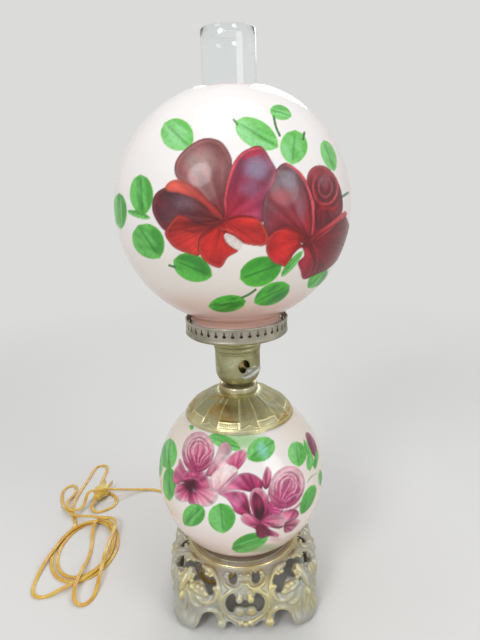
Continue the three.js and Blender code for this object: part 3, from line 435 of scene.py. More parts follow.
def painted_glass(name):
    """White glass with fired paint: the colours come with the mesh, the brush marks from noise."""
    finish = Finish(name, IOR=1.5, Specular_IOR_Level=0.25, Coat_Weight=0.35, Coat_Roughness=0.1,
                    Subsurface_Weight=0.35, Subsurface_Scale=0.004, Subsurface_Radius=(1.0, 0.9, 0.85))
    paint = finish.attribute("paint", "Color")
    cover = finish.attribute("cover")
    brush = finish.noise(230, detail=5, roughness=0.65, distortion=0.8)
    fine = finish.noise(900, detail=3)
    dark = finish.mix(1.0, paint, (0.80, 0.78, 0.78), "MULTIPLY")
    marks = finish.times(finish.ramp(brush, 0.45, 0.7), cover)
    finish.set("Base Color", finish.mix(marks, paint, dark))
    rough = finish.times(finish.ramp(fine, NOISE_LOW, NOISE_HIGH, 0.2, 0.5), cover)
    finish.set("Roughness", finish.maths("ADD", rough, 0.08))
    finish.bump(finish.times(brush, finish.ramp(cover, 0.0, 1.0, 0.12, 1.0)), 0.12, 0.45)
    return finish


# Each brass has its plain, stained and rubbed colour
aged_brass = brass("aged_brass", (0.48, 0.41, 0.18), (0.25, 0.18, 0.07), (0.64, 0.59, 0.35))
olive_brass = brass("olive_brass", (0.40, 0.39, 0.21), (0.26, 0.23, 0.11), (0.52, 0.52, 0.34), 0.34, 0.55)
grey_brass = brass("grey_brass", (0.44, 0.42, 0.34), (0.28, 0.26, 0.20), (0.58, 0.56, 0.49), 0.34, 0.55, 0.75)
worn_brass = brass("worn_brass", (0.52, 0.48, 0.32), (0.38, 0.28, 0.12), (0.66, 0.62, 0.48), 0.32, 0.5, 0.8)
pan_brass = brass("pan_brass", (0.47, 0.46, 0.34), (0.33, 0.32, 0.23), (0.58, 0.57, 0.45), 0.42, 0.6, 0.45)
inner_brass = brass("inner_brass", (0.72, 0.55, 0.24), (0.45, 0.30, 0.12), (0.80, 0.68, 0.38))
bead_gilt = brass("bead_gilt", (0.74, 0.64, 0.34), (0.42, 0.36, 0.17), (0.90, 0.84, 0.56))
steel = plain_metal("steel", (0.58, 0.57, 0.54), (0.38, 0.36, 0.33), 0.3)
pewter = plain_metal("pewter", (0.58, 0.58, 0.54), (0.44, 0.44, 0.41), 0.48, 0.5)
porcelain = plain_solid("porcelain", (0.86, 0.84, 0.78), (0.76, 0.73, 0.66), 0.18)
fibre = plain_solid("fibre", (0.46, 0.33, 0.20), (0.33, 0.22, 0.13), 0.75)
black_plastic = plain_solid("black_plastic", (0.03, 0.03, 0.03), (0.015, 0.015, 0.015), 0.4)
cord_plastic = amber_plastic("cord_plastic", (0.95, 0.66, 0.10), (0.82, 0.43, 0.03), 0.2, 0.14)
plug_plastic = amber_plastic("plug_plastic", (0.93, 0.74, 0.14), (0.80, 0.56, 0.07), 0.12, 0.22)
chimney_glass = clear_glass("chimney_glass")
bulb_white = frosted_glass("frosted_glass")
globe_paint = painted_glass("globe_paint")
ball_paint = painted_glass("ball_paint")


# Rides, slots and replaced nodes


def fit(obj, body, slot, finish, *nodes):
    """Gives a piece its material and body, and hides the nodes that it stands for. The slot is not used."""
    obj.data.materials.clear()
    obj.data.materials.append(finish.material)
    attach(obj, body)
    if nodes:
        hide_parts(*nodes)
    return obj


def dress(finish, *nodes):
    """Gives a better material to CAD pieces that stay as they are."""
    for node in nodes:
        for slot in bpy.data.objects[node].material_slots:
            slot.material = finish.material


# Cord: the route is laid from the plug to the lamp, in metres
CORD_WIDTH = 0.0052
CORD_THICKNESS = 0.0028
CORD_REST = CORD_THICKNESS / 2
CORD_STEP = 0.0156
CORD_GAP = 0.0007
CORD_SLOPE = 0.25
SEAT_GAP = 0.0003
SIDE_CLEARANCE = CORD_WIDTH + CORD_GAP
STACK_CLEARANCE = CORD_THICKNESS + CORD_GAP
NEAR_REACH = CORD_STEP * 3
JOINED_STEPS = 3
STEP_PARTS = 6
ROUTE_PARTS = 200
PLUG_LENGTH = 0.033
PLUG_WIDTH = 0.026
PLUG_THICKNESS = 0.015
PLUG_TURN = math.radians(-12)
PLUG_CENTRE = np.array([-0.2375, 0.188])
PLUG_LOW = CORD_THICKNESS + SEAT_GAP
CORD_TOP = PLUG_LOW + PLUG_THICKNESS + SEAT_GAP * 2 + CORD_REST
PLUG_MIDDLE = PLUG_LOW + PLUG_THICKNESS / 2
PLUG_AXIS = np.array([math.sin(-PLUG_TURN), math.cos(PLUG_TURN)])
PLUG_ENTRY = PLUG_CENTRE - PLUG_AXIS * (PLUG_LENGTH / 2 + SEAT_GAP)
BUSHING_LOW = 0.0445
LAMP_EXIT = np.array([0, 0, BUSHING_LOW - SEAT_GAP])
TAIL_POINTS = [
    (-0.245, 0.1595, 0.006), (-0.243, 0.1515, 0.0028), (-0.235, 0.148, 0.0014),
    (-0.2235, 0.151, 0.0014), (-0.2135, 0.159, 0.0014), (-0.2085, 0.171, 0.0014),
    (-0.211, 0.184, 0.0014), (-0.2195, 0.1945, 0.0014), (-0.2305, 0.2035, 0.0014),
    (-0.241, 0.214, 0.0014), (-0.2465, 0.228, 0.0014), (-0.2475, 0.243, 0.0014),
    (-0.247, 0.258, 0.0014), (-0.247, 0.273, 0.0014), (-0.2505, 0.285, 0.0014), (-0.2595, 0.29, 0.0014),
    (-0.268, 0.2845, 0.0014), (-0.271, 0.272, 0.0014), (-0.272, 0.255, 0.0014),
    (-0.2745, 0.235, 0.0014), (-0.277, 0.212, 0.0014), (-0.2785, 0.19, 0.0014), (-0.278, 0.168, 0.0014),
    (-0.273, 0.148, 0.0014), (-0.266, 0.131, 0.0014), (-0.261, 0.117, 0.0014),
]
LEAD_POINTS = [
    (-0.228, 0.1205, 0.0014), (-0.245, 0.126, 0.0014), (-0.262, 0.134, 0.0014), (-0.278, 0.146, 0.0014),
    (-0.291, 0.162, 0.0014), (-0.301, 0.182, 0.0014), (-0.307, 0.203, 0.0014), (-0.306, 0.218, 0.0014),
    (-0.297, 0.226, 0.0014), (-0.2875, 0.219, 0.0014), (-0.2855, 0.203, 0.0014),
    (-0.287, 0.184, 0.0014), (-0.287, 0.166, 0.0014), (-0.281, 0.151, 0.0014), (-0.27, 0.1445, 0.0014),
    (-0.26, 0.149, 0.003), (-0.2575, 0.16, 0.006), (-0.2565, 0.17, 0.014), (-0.252, 0.178, CORD_TOP),
    (-0.241, 0.1815, CORD_TOP), (-0.228, 0.1835, CORD_TOP), (-0.219, 0.1855, 0.0186),
    (-0.204, 0.191, 0.0135), (-0.19, 0.198, 0.008), (-0.175, 0.204, 0.004), (-0.16, 0.206, 0.002),
    (-0.145, 0.203, 0.0014), (-0.13, 0.196, 0.0014), (-0.116, 0.185, 0.0014), (-0.103, 0.171, 0.0014),
    (-0.091, 0.154, 0.0014), (-0.079, 0.136, 0.0014), (-0.067, 0.119, 0.0014), (-0.056, 0.104, 0.0014),
    (-0.048, 0.09, 0.0014), (-0.0445, 0.076, 0.0014), (-0.044, 0.06, 0.0014), (-0.047, 0.044, 0.0014),
    (-0.053, 0.03, 0.0014), (-0.058, 0.016, 0.0014), (-0.057, 0.002, 0.0014), (-0.0485, -0.008, 0.0014),
    (-0.036, -0.0105, 0.0016), (-0.024, -0.0085, 0.004), (-0.013, -0.005, 0.0095),
    (-0.0045, -0.0018, 0.018), (0, 0, 0.028),
]
# Each loop: the middle, half width and half depth, how blunt its ends are, and a bulge towards an angle
LOOPS = np.array([
    [-0.229, 0.062, 0.045, 0.064, 0, 0],
    [-0.229, 0.062, 0.0375, 0.056, 0, 0],
    [-0.230, 0.060, 0.041, 0.061, 0, 0.038],
    [-0.207, 0.038, 0.016, 0.080, 0.22, 0],
])
BULGE_ANGLE = math.radians(237)
BULGE_SHARPNESS = 3
BLUNT_ORDER = 3
COIL_START = math.radians(140)
COIL_END = math.radians(450) + TURN * 3
LOOP_FOOT = math.radians(270)
SHIFT_START = 0.25
SHIFT_TURNS = 0.5
COIL_STEPS_PER_LOOP = 24


def coil_point(angle):
    """A point of the loops. Each turn shifts from its own loop to the next one at its rear."""
    along = min(max((angle - LOOP_FOOT) / TURN, 0), len(LOOPS) - 1)
    lower = min(int(along), len(LOOPS) - 2)
    share = min(max((along - lower - SHIFT_START) / SHIFT_TURNS, 0), 1)
    share = share * share * (3 - 2 * share)
    x, y, half_width, half_depth, blunt, bulge = LOOPS[lower] * (1 - share) + LOOPS[lower + 1] * share
    lobe = bulge * max(0, math.cos(angle - BULGE_ANGLE)) ** BULGE_SHARPNESS
    sway = math.cos(angle) - blunt * math.cos(BLUNT_ORDER * angle)
    return np.array([
        x + half_width * sway + lobe * math.cos(BULGE_ANGLE),
        y + half_depth * math.sin(angle) + lobe * math.sin(BULGE_ANGLE),
        CORD_REST,
    ])


def curve_at(points, share):
    """A point of the uniform spline through the points, as the solids lay it."""
    place = (len(points) - 1) * share
    i = min(int(place), len(points) - 2)
    b, c = points[i], points[i + 1]
    a = points[i - 1] if i > 0 else 2 * b - c
    d = points[i + 2] if i + 2 < len(points) else 2 * c - b
    return spline(a, b, c, d, place - i)


def laid(points):
    """Points one step apart along the spline."""
    samples = np.array([curve_at(points, i / ROUTE_PARTS) for i in range(ROUTE_PARTS + 1)])
    lengths = np.concatenate([[0], np.cumsum(np.linalg.norm(np.diff(samples, axis=0), axis=1))])
    count = round(lengths[-1] / CORD_STEP)
    even = np.arange(count + 1) / count * lengths[-1]
    shares = np.interp(even, lengths, np.arange(ROUTE_PARTS + 1) / ROUTE_PARTS)
    return [curve_at(points, share) for share in shares]


def plan_distance(a, b, c, d):
    """How near the step from a to b comes to the step from c to d, seen from above."""
    way = (d - c)[:2]
    least = math.inf
    for i in range(STEP_PARTS + 1):
        place = (a + (b - a) * i / STEP_PARTS)[:2] - c[:2]
        share = min(max(np.dot(place, way) / np.dot(way, way), 0), 1)
        least = min(least, np.linalg.norm(place - way * share))
    return least


def settle(points):
    """Lifts each stretch over the stretches that were laid before it, in long low humps."""
    points = np.array(points)
    lifts = np.zeros(len(points))
    runs = np.linalg.norm(np.diff(points[:, :2], axis=0), axis=1)
    for i in range(1, len(points)):
        for j in range(0, i - JOINED_STEPS):
            if np.linalg.norm(points[i, :2] - points[j, :2]) > NEAR_REACH:
                continue
            if plan_distance(points[i - 1], points[i], points[j], points[j + 1]) > SIDE_CLEARANCE:
                continue
            under = max(points[j, 2] + lifts[j], points[j + 1, 2] + lifts[j + 1])
            for k in (i - 1, i):
                lifts[k] = max(lifts[k], under + STACK_CLEARANCE - points[k, 2])
        lifts[i] = max(lifts[i], lifts[i - 1] - runs[i - 1] * CORD_SLOPE)
        for k in range(i, 0, -1):
            lifts[k - 1] = max(lifts[k - 1], lifts[k] - runs[k - 1] * CORD_SLOPE)
    points[:, 2] += lifts
    return points


def cord_route():
    plug_exit = np.array([*PLUG_ENTRY, PLUG_MIDDLE])
    plug_leave = plug_exit - np.array([*PLUG_AXIS, 0]) * CORD_WIDTH
    steps = round((COIL_END - COIL_START) / TURN * COIL_STEPS_PER_LOOP)
    coil = [coil_point(COIL_START + (COIL_END - COIL_START) * i / steps) for i in range(steps + 1)]
    tail = laid([plug_exit, plug_leave, *map(np.array, TAIL_POINTS), coil[0]])
    lead = laid([coil[-1], *map(np.array, LEAD_POINTS), LAMP_EXIT])
    return settle([*tail[:-1], *coil, *lead[1:]])


FINE_STEPS = 5
FLOOR_CLEARANCE = 0.02
LOBE_POINTS = 10
WAIST_SHARE = 0.8
STEEPEST_LEVEL_RUN = math.sqrt(0.5)


def cord_section(_share):
    """Two round wires side by side, in millimetres."""
    lobe = CORD_THICKNESS / 2 / MM
    offset = CORD_WIDTH / 2 / MM - lobe
    waist = math.acos(offset / lobe) * WAIST_SHARE
    angles = np.linspace(-math.pi + waist, math.pi - waist, LOBE_POINTS)
    right = [(offset + lobe * math.cos(a), lobe * math.sin(a)) for a in angles]
    return np.array([*right, *[(-x, -y) for x, y in right]])


def add_cord():
    """The cord lies flat on its wide side, and turns as little as it can where it stands up."""
    route = open_curve(cord_route()[::-1], FINE_STEPS)
    sides = []
    side = np.array([1.0, 0.0, 0.0])
    for direction in np.gradient(route, axis=0):
        direction = direction / np.linalg.norm(direction)
        if abs(direction[2]) < STEEPEST_LEVEL_RUN:
            level = np.cross([0, 0, 1], direction)
            side = level if np.dot(level, side) >= 0 or not sides else -level
        sides.append(side)
    vertices, faces = tube(route / MM, cord_section, sides)
    vertices[:, 2] = np.maximum(vertices[:, 2], FLOOR_CLEARANCE)
    obj = add_mesh("cord", vertices, faces, 60)
    fit(obj, "stand", "cord", cord_plastic, "cord_tail", "cord_coil", "cord_lead")
    length = float(np.linalg.norm(np.diff(route, axis=0), axis=1).sum())
    return obj, route, length


cord, cord_path, cord_length = add_cord()

# Rows: place along the plug, half width and half thickness, as shares
PLUG_SHARES = [
    (-1.0, 0.34, 0.46), (-0.97, 0.42, 0.56), (-0.8, 0.47, 0.62), (-0.55, 0.55, 0.7), (-0.3, 0.72, 0.78),
    (-0.05, 0.93, 0.9), (0.2, 1.0, 1.0), (0.45, 0.97, 1.0), (0.62, 0.82, 0.92), (0.76, 0.72, 0.86),
    (0.9, 0.78, 0.9), (0.97, 0.76, 0.88), (1.0, 0.68, 0.8),
]
PLUG_RINGS = 49
PLUG_POINTS = 28
PLUG_BLUNTNESS = 3.2
RIB_SHARE = 0.035
RIB_RATE = 46
RIBS_START_SHARE = -0.9
RIBS_END_SHARE = -0.1


def add_plug():
    """A moulded plug: a ribbed grip that widens to shoulders, and a flat face at its blades."""
    angle = np.arange(PLUG_POINTS) * TURN / PLUG_POINTS
    cosine, sine = np.cos(angle), np.sin(angle)
    blunt = (np.abs(cosine) ** PLUG_BLUNTNESS + np.abs(sine) ** PLUG_BLUNTNESS) ** (-1 / PLUG_BLUNTNESS)
    rings = []
    places = np.linspace(-1, 1, PLUG_RINGS)
    for place, (wide, thick) in zip(places, table_at(PLUG_SHARES, places)):
        ribbed = RIBS_START_SHARE < place < RIBS_END_SHARE
        rib = 1 + RIB_SHARE * math.sin(place * RIB_RATE) * ribbed
        x = PLUG_WIDTH / 2 * wide * rib * cosine * blunt
        z = PLUG_THICKNESS / 2 * thick * sine * blunt
        rings.append(np.column_stack([x, np.full(PLUG_POINTS, place * PLUG_LENGTH / 2), z]))
    turn = np.array(Matrix.Rotation(PLUG_TURN, 3, "Z"))
    vertices = np.concatenate(rings) @ turn.T + np.array([*PLUG_CENTRE, PLUG_MIDDLE])
    obj = add_mesh("plug_body_shaped", vertices / MM, stack_faces(PLUG_RINGS, PLUG_POINTS), 50)
    return fit(obj, "stand", "plug", plug_plastic, "plug_body")


plug = add_plug()
dress(inner_brass, "plug_blade_left", "plug_blade_right")


# Brass and inside pieces, in millimetres
BORE = 5.2
ROUND = 128


def metal(name, slot, finish, profile, node, corner=0.35):
    """A turned piece of the stand with its corners rounded off."""
    fit(lathe(name, soften(profile, corner), ROUND), "stand", slot, finish, node)


# Pan under the ball
PAN_FLOOR = 72.5
PAN_SHEET = 1
PAN_TOP = PAN_FLOOR + PAN_SHEET
PAN_RADIUS = 61
PAN_RIM = PAN_FLOOR + 1.8
PAN_SPIGOT = 35.2
PAN_SPIGOT_TOP = 77.5
metal("pan", "olive_brass", pan_brass, [
    (BORE, PAN_FLOOR), (PAN_RADIUS, PAN_FLOOR), (PAN_RADIUS, PAN_RIM), (PAN_RADIUS - PAN_SHEET, PAN_RIM),
    (PAN_RADIUS - PAN_SHEET, PAN_TOP), (PAN_SPIGOT, PAN_TOP), (PAN_SPIGOT, PAN_SPIGOT_TOP),
    (PAN_SPIGOT - PAN_SHEET, PAN_SPIGOT_TOP), (PAN_SPIGOT - PAN_SHEET, PAN_TOP), (BORE, PAN_TOP),
], "seat_pan")

# Ring over the cap
RING_LOW = 272.86
RING_TOP = 279.56
RING_RADIUS = 23
RING_BOSS = 12
RING_BOSS_TOP = 281.26
RING_CORNER = 0.9
metal("ring_over_cap", "aged_brass", worn_brass, [
    (BORE, RING_LOW), (RING_RADIUS - 0.6, RING_LOW), (RING_RADIUS, RING_LOW + 0.8),
    (RING_RADIUS, RING_TOP - 1.4), (RING_RADIUS - 1.4, RING_TOP), (RING_BOSS + 1, RING_TOP),
    (RING_BOSS, RING_TOP + 0.6), (RING_BOSS, RING_BOSS_TOP), (BORE, RING_BOSS_TOP),
], "neck_ring", RING_CORNER)

# Husk with its oval window
HUSK_LOW = 281.56
HUSK_TOP = 323.86
HUSK_RADIUS = 26.3
HUSK_FLOOR = 14
HUSK_SHEET = 1
HUSK_GROOVE = 0.35
HUSK_BEAD = 0.4
# Radius and height of the bowl below the husk's straight wall
BOWL_SHARES = [(0.685, 0.03), (0.84, 0.105), (0.95, 0.225), (1, 0.38)]
WINDOW_AZIMUTH = math.radians(16)
WINDOW_HEIGHT = 308.06
WINDOW_HALF_WIDTH = 6.8
WINDOW_HALF_HEIGHT = 8
WINDOW_CUT_NEAR = 16
WINDOW_CUT_FAR = 32
WINDOW_POINTS = 48
RIM_WIRE = 0.45
RIM_OFFSET = 0.35
RIM_DEPTH = 0.1
RIM_STEPS = 64


def husk_profile():
    height = HUSK_TOP - HUSK_LOW
    bowl = [(r * HUSK_RADIUS, HUSK_LOW + z * height) for r, z in BOWL_SHARES]
    wall = open_curve([(HUSK_FLOOR, HUSK_LOW), *bowl, (HUSK_RADIUS, HUSK_TOP - 6)], 6)
    inside = [(max(r - HUSK_SHEET, HUSK_FLOOR - 0.5), z + 0.7) for r, z in wall[::-1]]
    groove, bead = HUSK_RADIUS - HUSK_GROOVE, HUSK_RADIUS + HUSK_BEAD
    edge = [
        (HUSK_RADIUS, HUSK_TOP - 3.4), (groove, HUSK_TOP - 3), (groove, HUSK_TOP - 2.4),
        (bead, HUSK_TOP - 1.8), (bead, HUSK_TOP - 0.4), (HUSK_RADIUS, HUSK_TOP),
        (HUSK_RADIUS - HUSK_SHEET, HUSK_TOP),
    ]
    return [(BORE, HUSK_LOW), *wall, *edge, *inside, (BORE, HUSK_LOW + HUSK_SHEET)]


def add_husk():
    husk = lathe("husk", husk_profile(), 160)
    direction = front_direction(WINDOW_AZIMUTH)
    angle = np.arange(WINDOW_POINTS) * TURN / WINDOW_POINTS
    outline = np.column_stack([WINDOW_HALF_WIDTH * np.cos(angle),
                               WINDOW_HEIGHT + WINDOW_HALF_HEIGHT * np.sin(angle)])
    pierce(husk, [prism(outline, direction, WINDOW_CUT_NEAR, WINDOW_CUT_FAR)])
    fit(husk, "stand", "olive_brass", olive_brass, "socket_husk")
    side = np.array([-direction[1], direction[0], 0])
    wire = []
    for turn in np.linspace(0, TURN, RIM_STEPS + 1)[:-1]:
        across = (WINDOW_HALF_WIDTH + RIM_OFFSET) * math.cos(turn)
        rise = (WINDOW_HALF_HEIGHT + RIM_OFFSET) * math.sin(turn)
        depth = math.sqrt((HUSK_RADIUS - RIM_DEPTH) ** 2 - across ** 2)
        wire.append(direction * depth + side * across + np.array([0, 0, WINDOW_HEIGHT + rise]))
    rim = add_mesh("window_rim", *closed_tube(wire, RIM_WIRE, 10), 60)
    fit(rim, "stand", "olive_brass", olive_brass)


add_husk()

# Stepped collar
COLLAR_LOW = 324.16
COLLAR_STEP = 330.36
COLLAR_TOP = 343.26
COLLAR_LOW_RADIUS = 27.5
COLLAR_HIGH_RADIUS = 31
COLLAR_BORE = 17.7
COLLAR_SHEET = 1.2


def add_collar():
    low, high, step = COLLAR_LOW_RADIUS, COLLAR_HIGH_RADIUS, COLLAR_STEP
    outside = open_curve([
        (low - 0.3, COLLAR_LOW + 0.8), (low, COLLAR_LOW + 2.2), (low - 0.6, COLLAR_LOW + 4),
        (low + 0.4, step - 0.6), (high - 1.2, step + 0.4), (high - 0.1, step + 1.6), (high, step + 3.2),
        (high - 0.7, step + 5.6), (high - 1.4, step + 9), (high - 0.5, COLLAR_TOP - 1),
    ], 5)
    under = COLLAR_TOP - COLLAR_SHEET
    profile = [
        (low - 1.2, COLLAR_LOW), (low - 0.5, COLLAR_LOW), *outside, (high, COLLAR_TOP - 0.4),
        (high - 0.3, COLLAR_TOP), (COLLAR_BORE, COLLAR_TOP), (COLLAR_BORE, under), (high - 3.2, under),
        (high - 3.2, step + 2.4), (low - 1.8, step + 1.2),
    ]
    fit(lathe("collar", profile, ROUND), "stand", "olive_brass", olive_brass, "gallery_collar")


add_collar()

# Gallery: floor plate with draught holes, and the ring that is pierced all round
PLATE_LOW = 343.56
PLATE_TOP = 344.76
GALLERY_RADIUS = 58.5
GALLERY_INNER = 57.3
GALLERY_LOW = 345.06
GALLERY_TOP = 362.36
GALLERY_FOOT = 50
GALLERY_BEAD = 0.7
GALLERY_SHEET = 1
GALLERY_CORNER = 0.3
LEDGE_RADIUS = 46
LEDGE_TOP = 351.16
DRAUGHT_COUNT = 10
DRAUGHT_HOLE = 2.6
DRAUGHT_RADIUS = 44.65
SLOT_COUNT = 40
SLOT_LOW = 351.76
SLOT_HEIGHT = 7.2
SLOT_FOOT = 2.0
SLOT_NECK = 0.95
SLOT_HEAD = 0.6
OVERRUN = 2
SLOT_OVERRUN = 3


def add_gallery_plate():
    profile = [(COLLAR_BORE, PLATE_LOW), (GALLERY_INNER, PLATE_LOW), (GALLERY_INNER, PLATE_TOP),
               (COLLAR_BORE, PLATE_TOP)]
    plate = lathe("plate", soften(profile, GALLERY_CORNER), 120)
    low, high = PLATE_LOW - OVERRUN, PLATE_TOP + OVERRUN
    hole = round_points([(0, low), (DRAUGHT_HOLE, low), (DRAUGHT_HOLE, high), (0, high)], 16)
    hole[:, 0] += DRAUGHT_RADIUS
    pierce(plate, [(turned_about_axis(hole, TURN * i / DRAUGHT_COUNT), grid_faces(4, 16))
                   for i in range(DRAUGHT_COUNT)])
    fit(plate, "stand", "aged_brass", aged_brass, "gallery_plate")


def slot_outline():
    """A keyhole: a round foot below a narrow head."""
    middle, top = SLOT_LOW + SLOT_FOOT, SLOT_LOW + SLOT_HEIGHT
    foot = [(SLOT_FOOT * math.cos(a), middle + SLOT_FOOT * math.sin(a)) for a in np.linspace(-4.1, 0.96, 14)]
    return [*foot, (SLOT_NECK, top - 0.9), (SLOT_HEAD, top), (-SLOT_HEAD, top), (-SLOT_NECK, top - 0.9)]


def add_gallery_ring():
    radius, bead, low, top = GALLERY_RADIUS, GALLERY_RADIUS + GALLERY_BEAD, GALLERY_LOW, GALLERY_TOP
    outside = [
        (GALLERY_FOOT, low), (radius + 0.1, low), (bead, low + 0.6), (bead, low + 1.8),
        (radius + 0.1, low + 2.5), (radius, low + 5.2), (radius, top - 2.8), (radius + 0.5, top - 2.3),
        (radius + 0.6, top - 1), (radius + 0.3, top),
    ]
    under = LEDGE_TOP - GALLERY_SHEET
    inside = [
        (GALLERY_INNER, top), (GALLERY_INNER, LEDGE_TOP), (LEDGE_RADIUS, LEDGE_TOP), (LEDGE_RADIUS, under),
        (GALLERY_INNER, under), (GALLERY_INNER, low + GALLERY_SHEET), (GALLERY_FOOT, low + GALLERY_SHEET),
    ]
    ring = lathe("gallery", soften(outside + inside, GALLERY_CORNER), 240)
    directions = [front_direction(TURN * (i + 0.5) / SLOT_COUNT) for i in range(SLOT_COUNT)]
    near, far = GALLERY_INNER - SLOT_OVERRUN, GALLERY_RADIUS + SLOT_OVERRUN
    pierce(ring, [prism(slot_outline(), direction, near, far) for direction in directions])
    fit(ring, "stand", "aged_brass", grey_brass, "gallery_ring")


add_gallery_plate()
add_gallery_ring()

# Chimney holder with its prongs
HOLDER_FLOOR = 346.06
HOLDER_INNER = 33.5
HOLDER_OUTER = 39.3
PRONG_RADIUS = 38.5
PRONG_TOP = 360.06
PRONG_COUNT = 6
PRONG_ROWS = 9
PRONG_COLUMNS = 9
PRONG_SHEET = 0.8
PRONG_ROOT = 0.4
PRONG_HALF_ANGLE = 0.235
PRONG_TAPER_SHARE = 0.28
LEAN = 0.8
LEAN_START_SHARE = 0.7


def prong(middle):
    """A spring prong, which narrows as it rises and leans out at its tip."""
    root = HOLDER_FLOOR - PRONG_ROOT
    rings = []
    for rise in np.linspace(0, 1, PRONG_ROWS):
        half = PRONG_HALF_ANGLE * (1 - PRONG_TAPER_SHARE * rise ** 2)
        radius = PRONG_RADIUS + LEAN * max(0, rise - LEAN_START_SHARE) / (1 - LEAN_START_SHARE)
        angles = middle + np.linspace(-half, half, PRONG_COLUMNS)
        height = root + (PRONG_TOP - root) * rise
        for reach, order in ((radius, angles), (radius + PRONG_SHEET, angles[::-1])):
            rings += [(reach * math.cos(a), reach * math.sin(a), height) for a in order]
    return np.array(rings), stack_faces(PRONG_ROWS, PRONG_COLUMNS * 2)


def add_holder():
    floor = lathe("holder_floor", [(HOLDER_INNER, GALLERY_LOW), (HOLDER_OUTER, GALLERY_LOW),
                                   (HOLDER_OUTER, HOLDER_FLOOR), (HOLDER_INNER, HOLDER_FLOOR)], 96, 40)
    fit(floor, "stand", "aged_brass", aged_brass, "chimney_holder")
    prongs = [prong(TURN * (i + 0.5) / PRONG_COUNT) for i in range(PRONG_COUNT)]
    fit(add_mesh("holder_prongs", *joined(prongs)), "stand", "aged_brass", inner_brass)


add_holder()

# Socket shells that show when the globe and the bulb are off
SHELL_LOW = 296.86
SHELL_TOP = 344.56
SHELL_RADIUS = 17.4
SHELL_INNER = 16.6
SHELL_GROOVE = 321
SCREW_RADIUS = 14.4
SCREW_LOW = 315.86
SCREW_TOP = 343.56
SCREW_SHEET = 0.4
SCREW_FOOT = 5
SCREW_PITCH = 3.6
SCREW_DEPTH = 0.35
SCREW_STEPS = 60


def add_socket_shells():
    """The plain shell with its groove, and the thin one inside that is rolled into rings like a screw's."""
    profile = [
        (SHELL_INNER, SHELL_LOW), (SHELL_RADIUS, SHELL_LOW), (SHELL_RADIUS, SHELL_GROOVE - 1),
        (SHELL_RADIUS - 0.3, SHELL_GROOVE), (SHELL_RADIUS, SHELL_GROOVE + 1), (SHELL_RADIUS, 343.6),
        (SHELL_RADIUS - 0.4, SHELL_TOP), (SHELL_INNER, SHELL_TOP),
    ]
    shell = lathe("outer_shell", soften(profile, 0.35), 96)
    fit(shell, "stand", "aged_brass", inner_brass, "socket_shell")
    heights = np.linspace(SCREW_LOW + 2, SCREW_TOP - 1.5, SCREW_STEPS)
    root = SCREW_RADIUS - SCREW_DEPTH
    wave = root + SCREW_DEPTH * np.sin((heights - SCREW_LOW) / SCREW_PITCH * TURN)
    outside = [(root, SCREW_LOW), *zip(wave, heights), (SCREW_RADIUS, SCREW_TOP)]
    inside = [(r - SCREW_SHEET, z) for r, z in outside[:0:-1]]
    floor = [(root - SCREW_SHEET, SCREW_LOW + SCREW_SHEET), (SCREW_FOOT, SCREW_LOW + SCREW_SHEET)]
    thread = lathe("inner_thread", [(SCREW_FOOT, SCREW_LOW), *outside, *inside, *floor], 96)
    fit(thread, "stand", "aged_brass", inner_brass, "screw_shell")


add_socket_shells()

# Bulb, whose envelope swells from its neck
BULB_LOW = 338.76
BULB_TOP = 410.76
BULB_RADIUS = 23
BULB_SHARES = [(0.513, 0), (0.52, 0.16), (0.66, 0.31), (0.86, 0.43), (0.985, 0.56), (1, 0.68), (0.93, 0.82),
               (0.74, 0.925), (0.42, 0.982), (0, 1)]
BULB_WALL = 0.6
BULB_SCREW_RADIUS = 12.75
BULB_SCREW_DEPTH = 0.4
BULB_SCREW_LOW = 325
BULB_SCREW_TOP = 341


def add_bulb():
    height = BULB_TOP - BULB_LOW
    curve = open_curve([(r * BULB_RADIUS, BULB_LOW + z * height) for r, z in BULB_SHARES], 6)
    outside = [(max(r, 0), min(z, BULB_TOP)) for r, z in curve]
    inside = [(r - BULB_WALL, z - 0.3) for r, z in outside[:-1] if r > BULB_WALL]
    envelope = lathe("bulb_envelope", [*outside[::-1], *inside, (0, BULB_TOP - 0.7)], 96)
    fit(envelope, "bulb", "bulb_glass", bulb_white, "bulb_glass")
    turns = np.linspace(BULB_SCREW_LOW, BULB_SCREW_TOP, SCREW_STEPS)
    wave = BULB_SCREW_RADIUS + BULB_SCREW_DEPTH * np.sin((turns - BULB_SCREW_LOW) / SCREW_PITCH * TURN)
    base = [
        (0, 321.96), (4, 321.96), (9.5, 323.6), (12.4, 324.3), *zip(wave, turns),
        (13.2, 342.4), (13.2, 344.5), (12.4, 344.76), (12.4, 338.6), (0, 338.46),
    ]
    fit(lathe("bulb_screw", base, 96), "bulb", "aged_brass", steel, "bulb_base")


add_bulb()

# Switch key: pointed paddle on its shaft, turned about the shaft's line
KEY_AZIMUTH = math.radians(25)
KEY_HEIGHT = 304
KEY_TILT = math.radians(26)
PADDLE_NEAR = 30.4
PADDLE_FAR = 41.8
PADDLE_HALF = 12
PADDLE_MIDDLE = 36.4
# Share of the outline and height above the paddle's middle plane, from its edge over the rim to its sunk face
PADDLE_STEPS = [(1.0, 0), (1.0, 0.8), (0.97, 1.5), (0.92, 1.85), (0.84, 1.85), (0.78, 1.35), (0.5, 1.2),
                (0.02, 1.2)]
KEY_BOSS = [(0, 28.2), (2.9, 28.2), (3.4, 28.8), (3.4, 33.4), (2.9, 35.2), (0, 35.6)]
KEY_SHAFT = [(0, 3), (1.45, 3), (1.6, 3.3), (1.6, 29.6), (0, 29.6)]


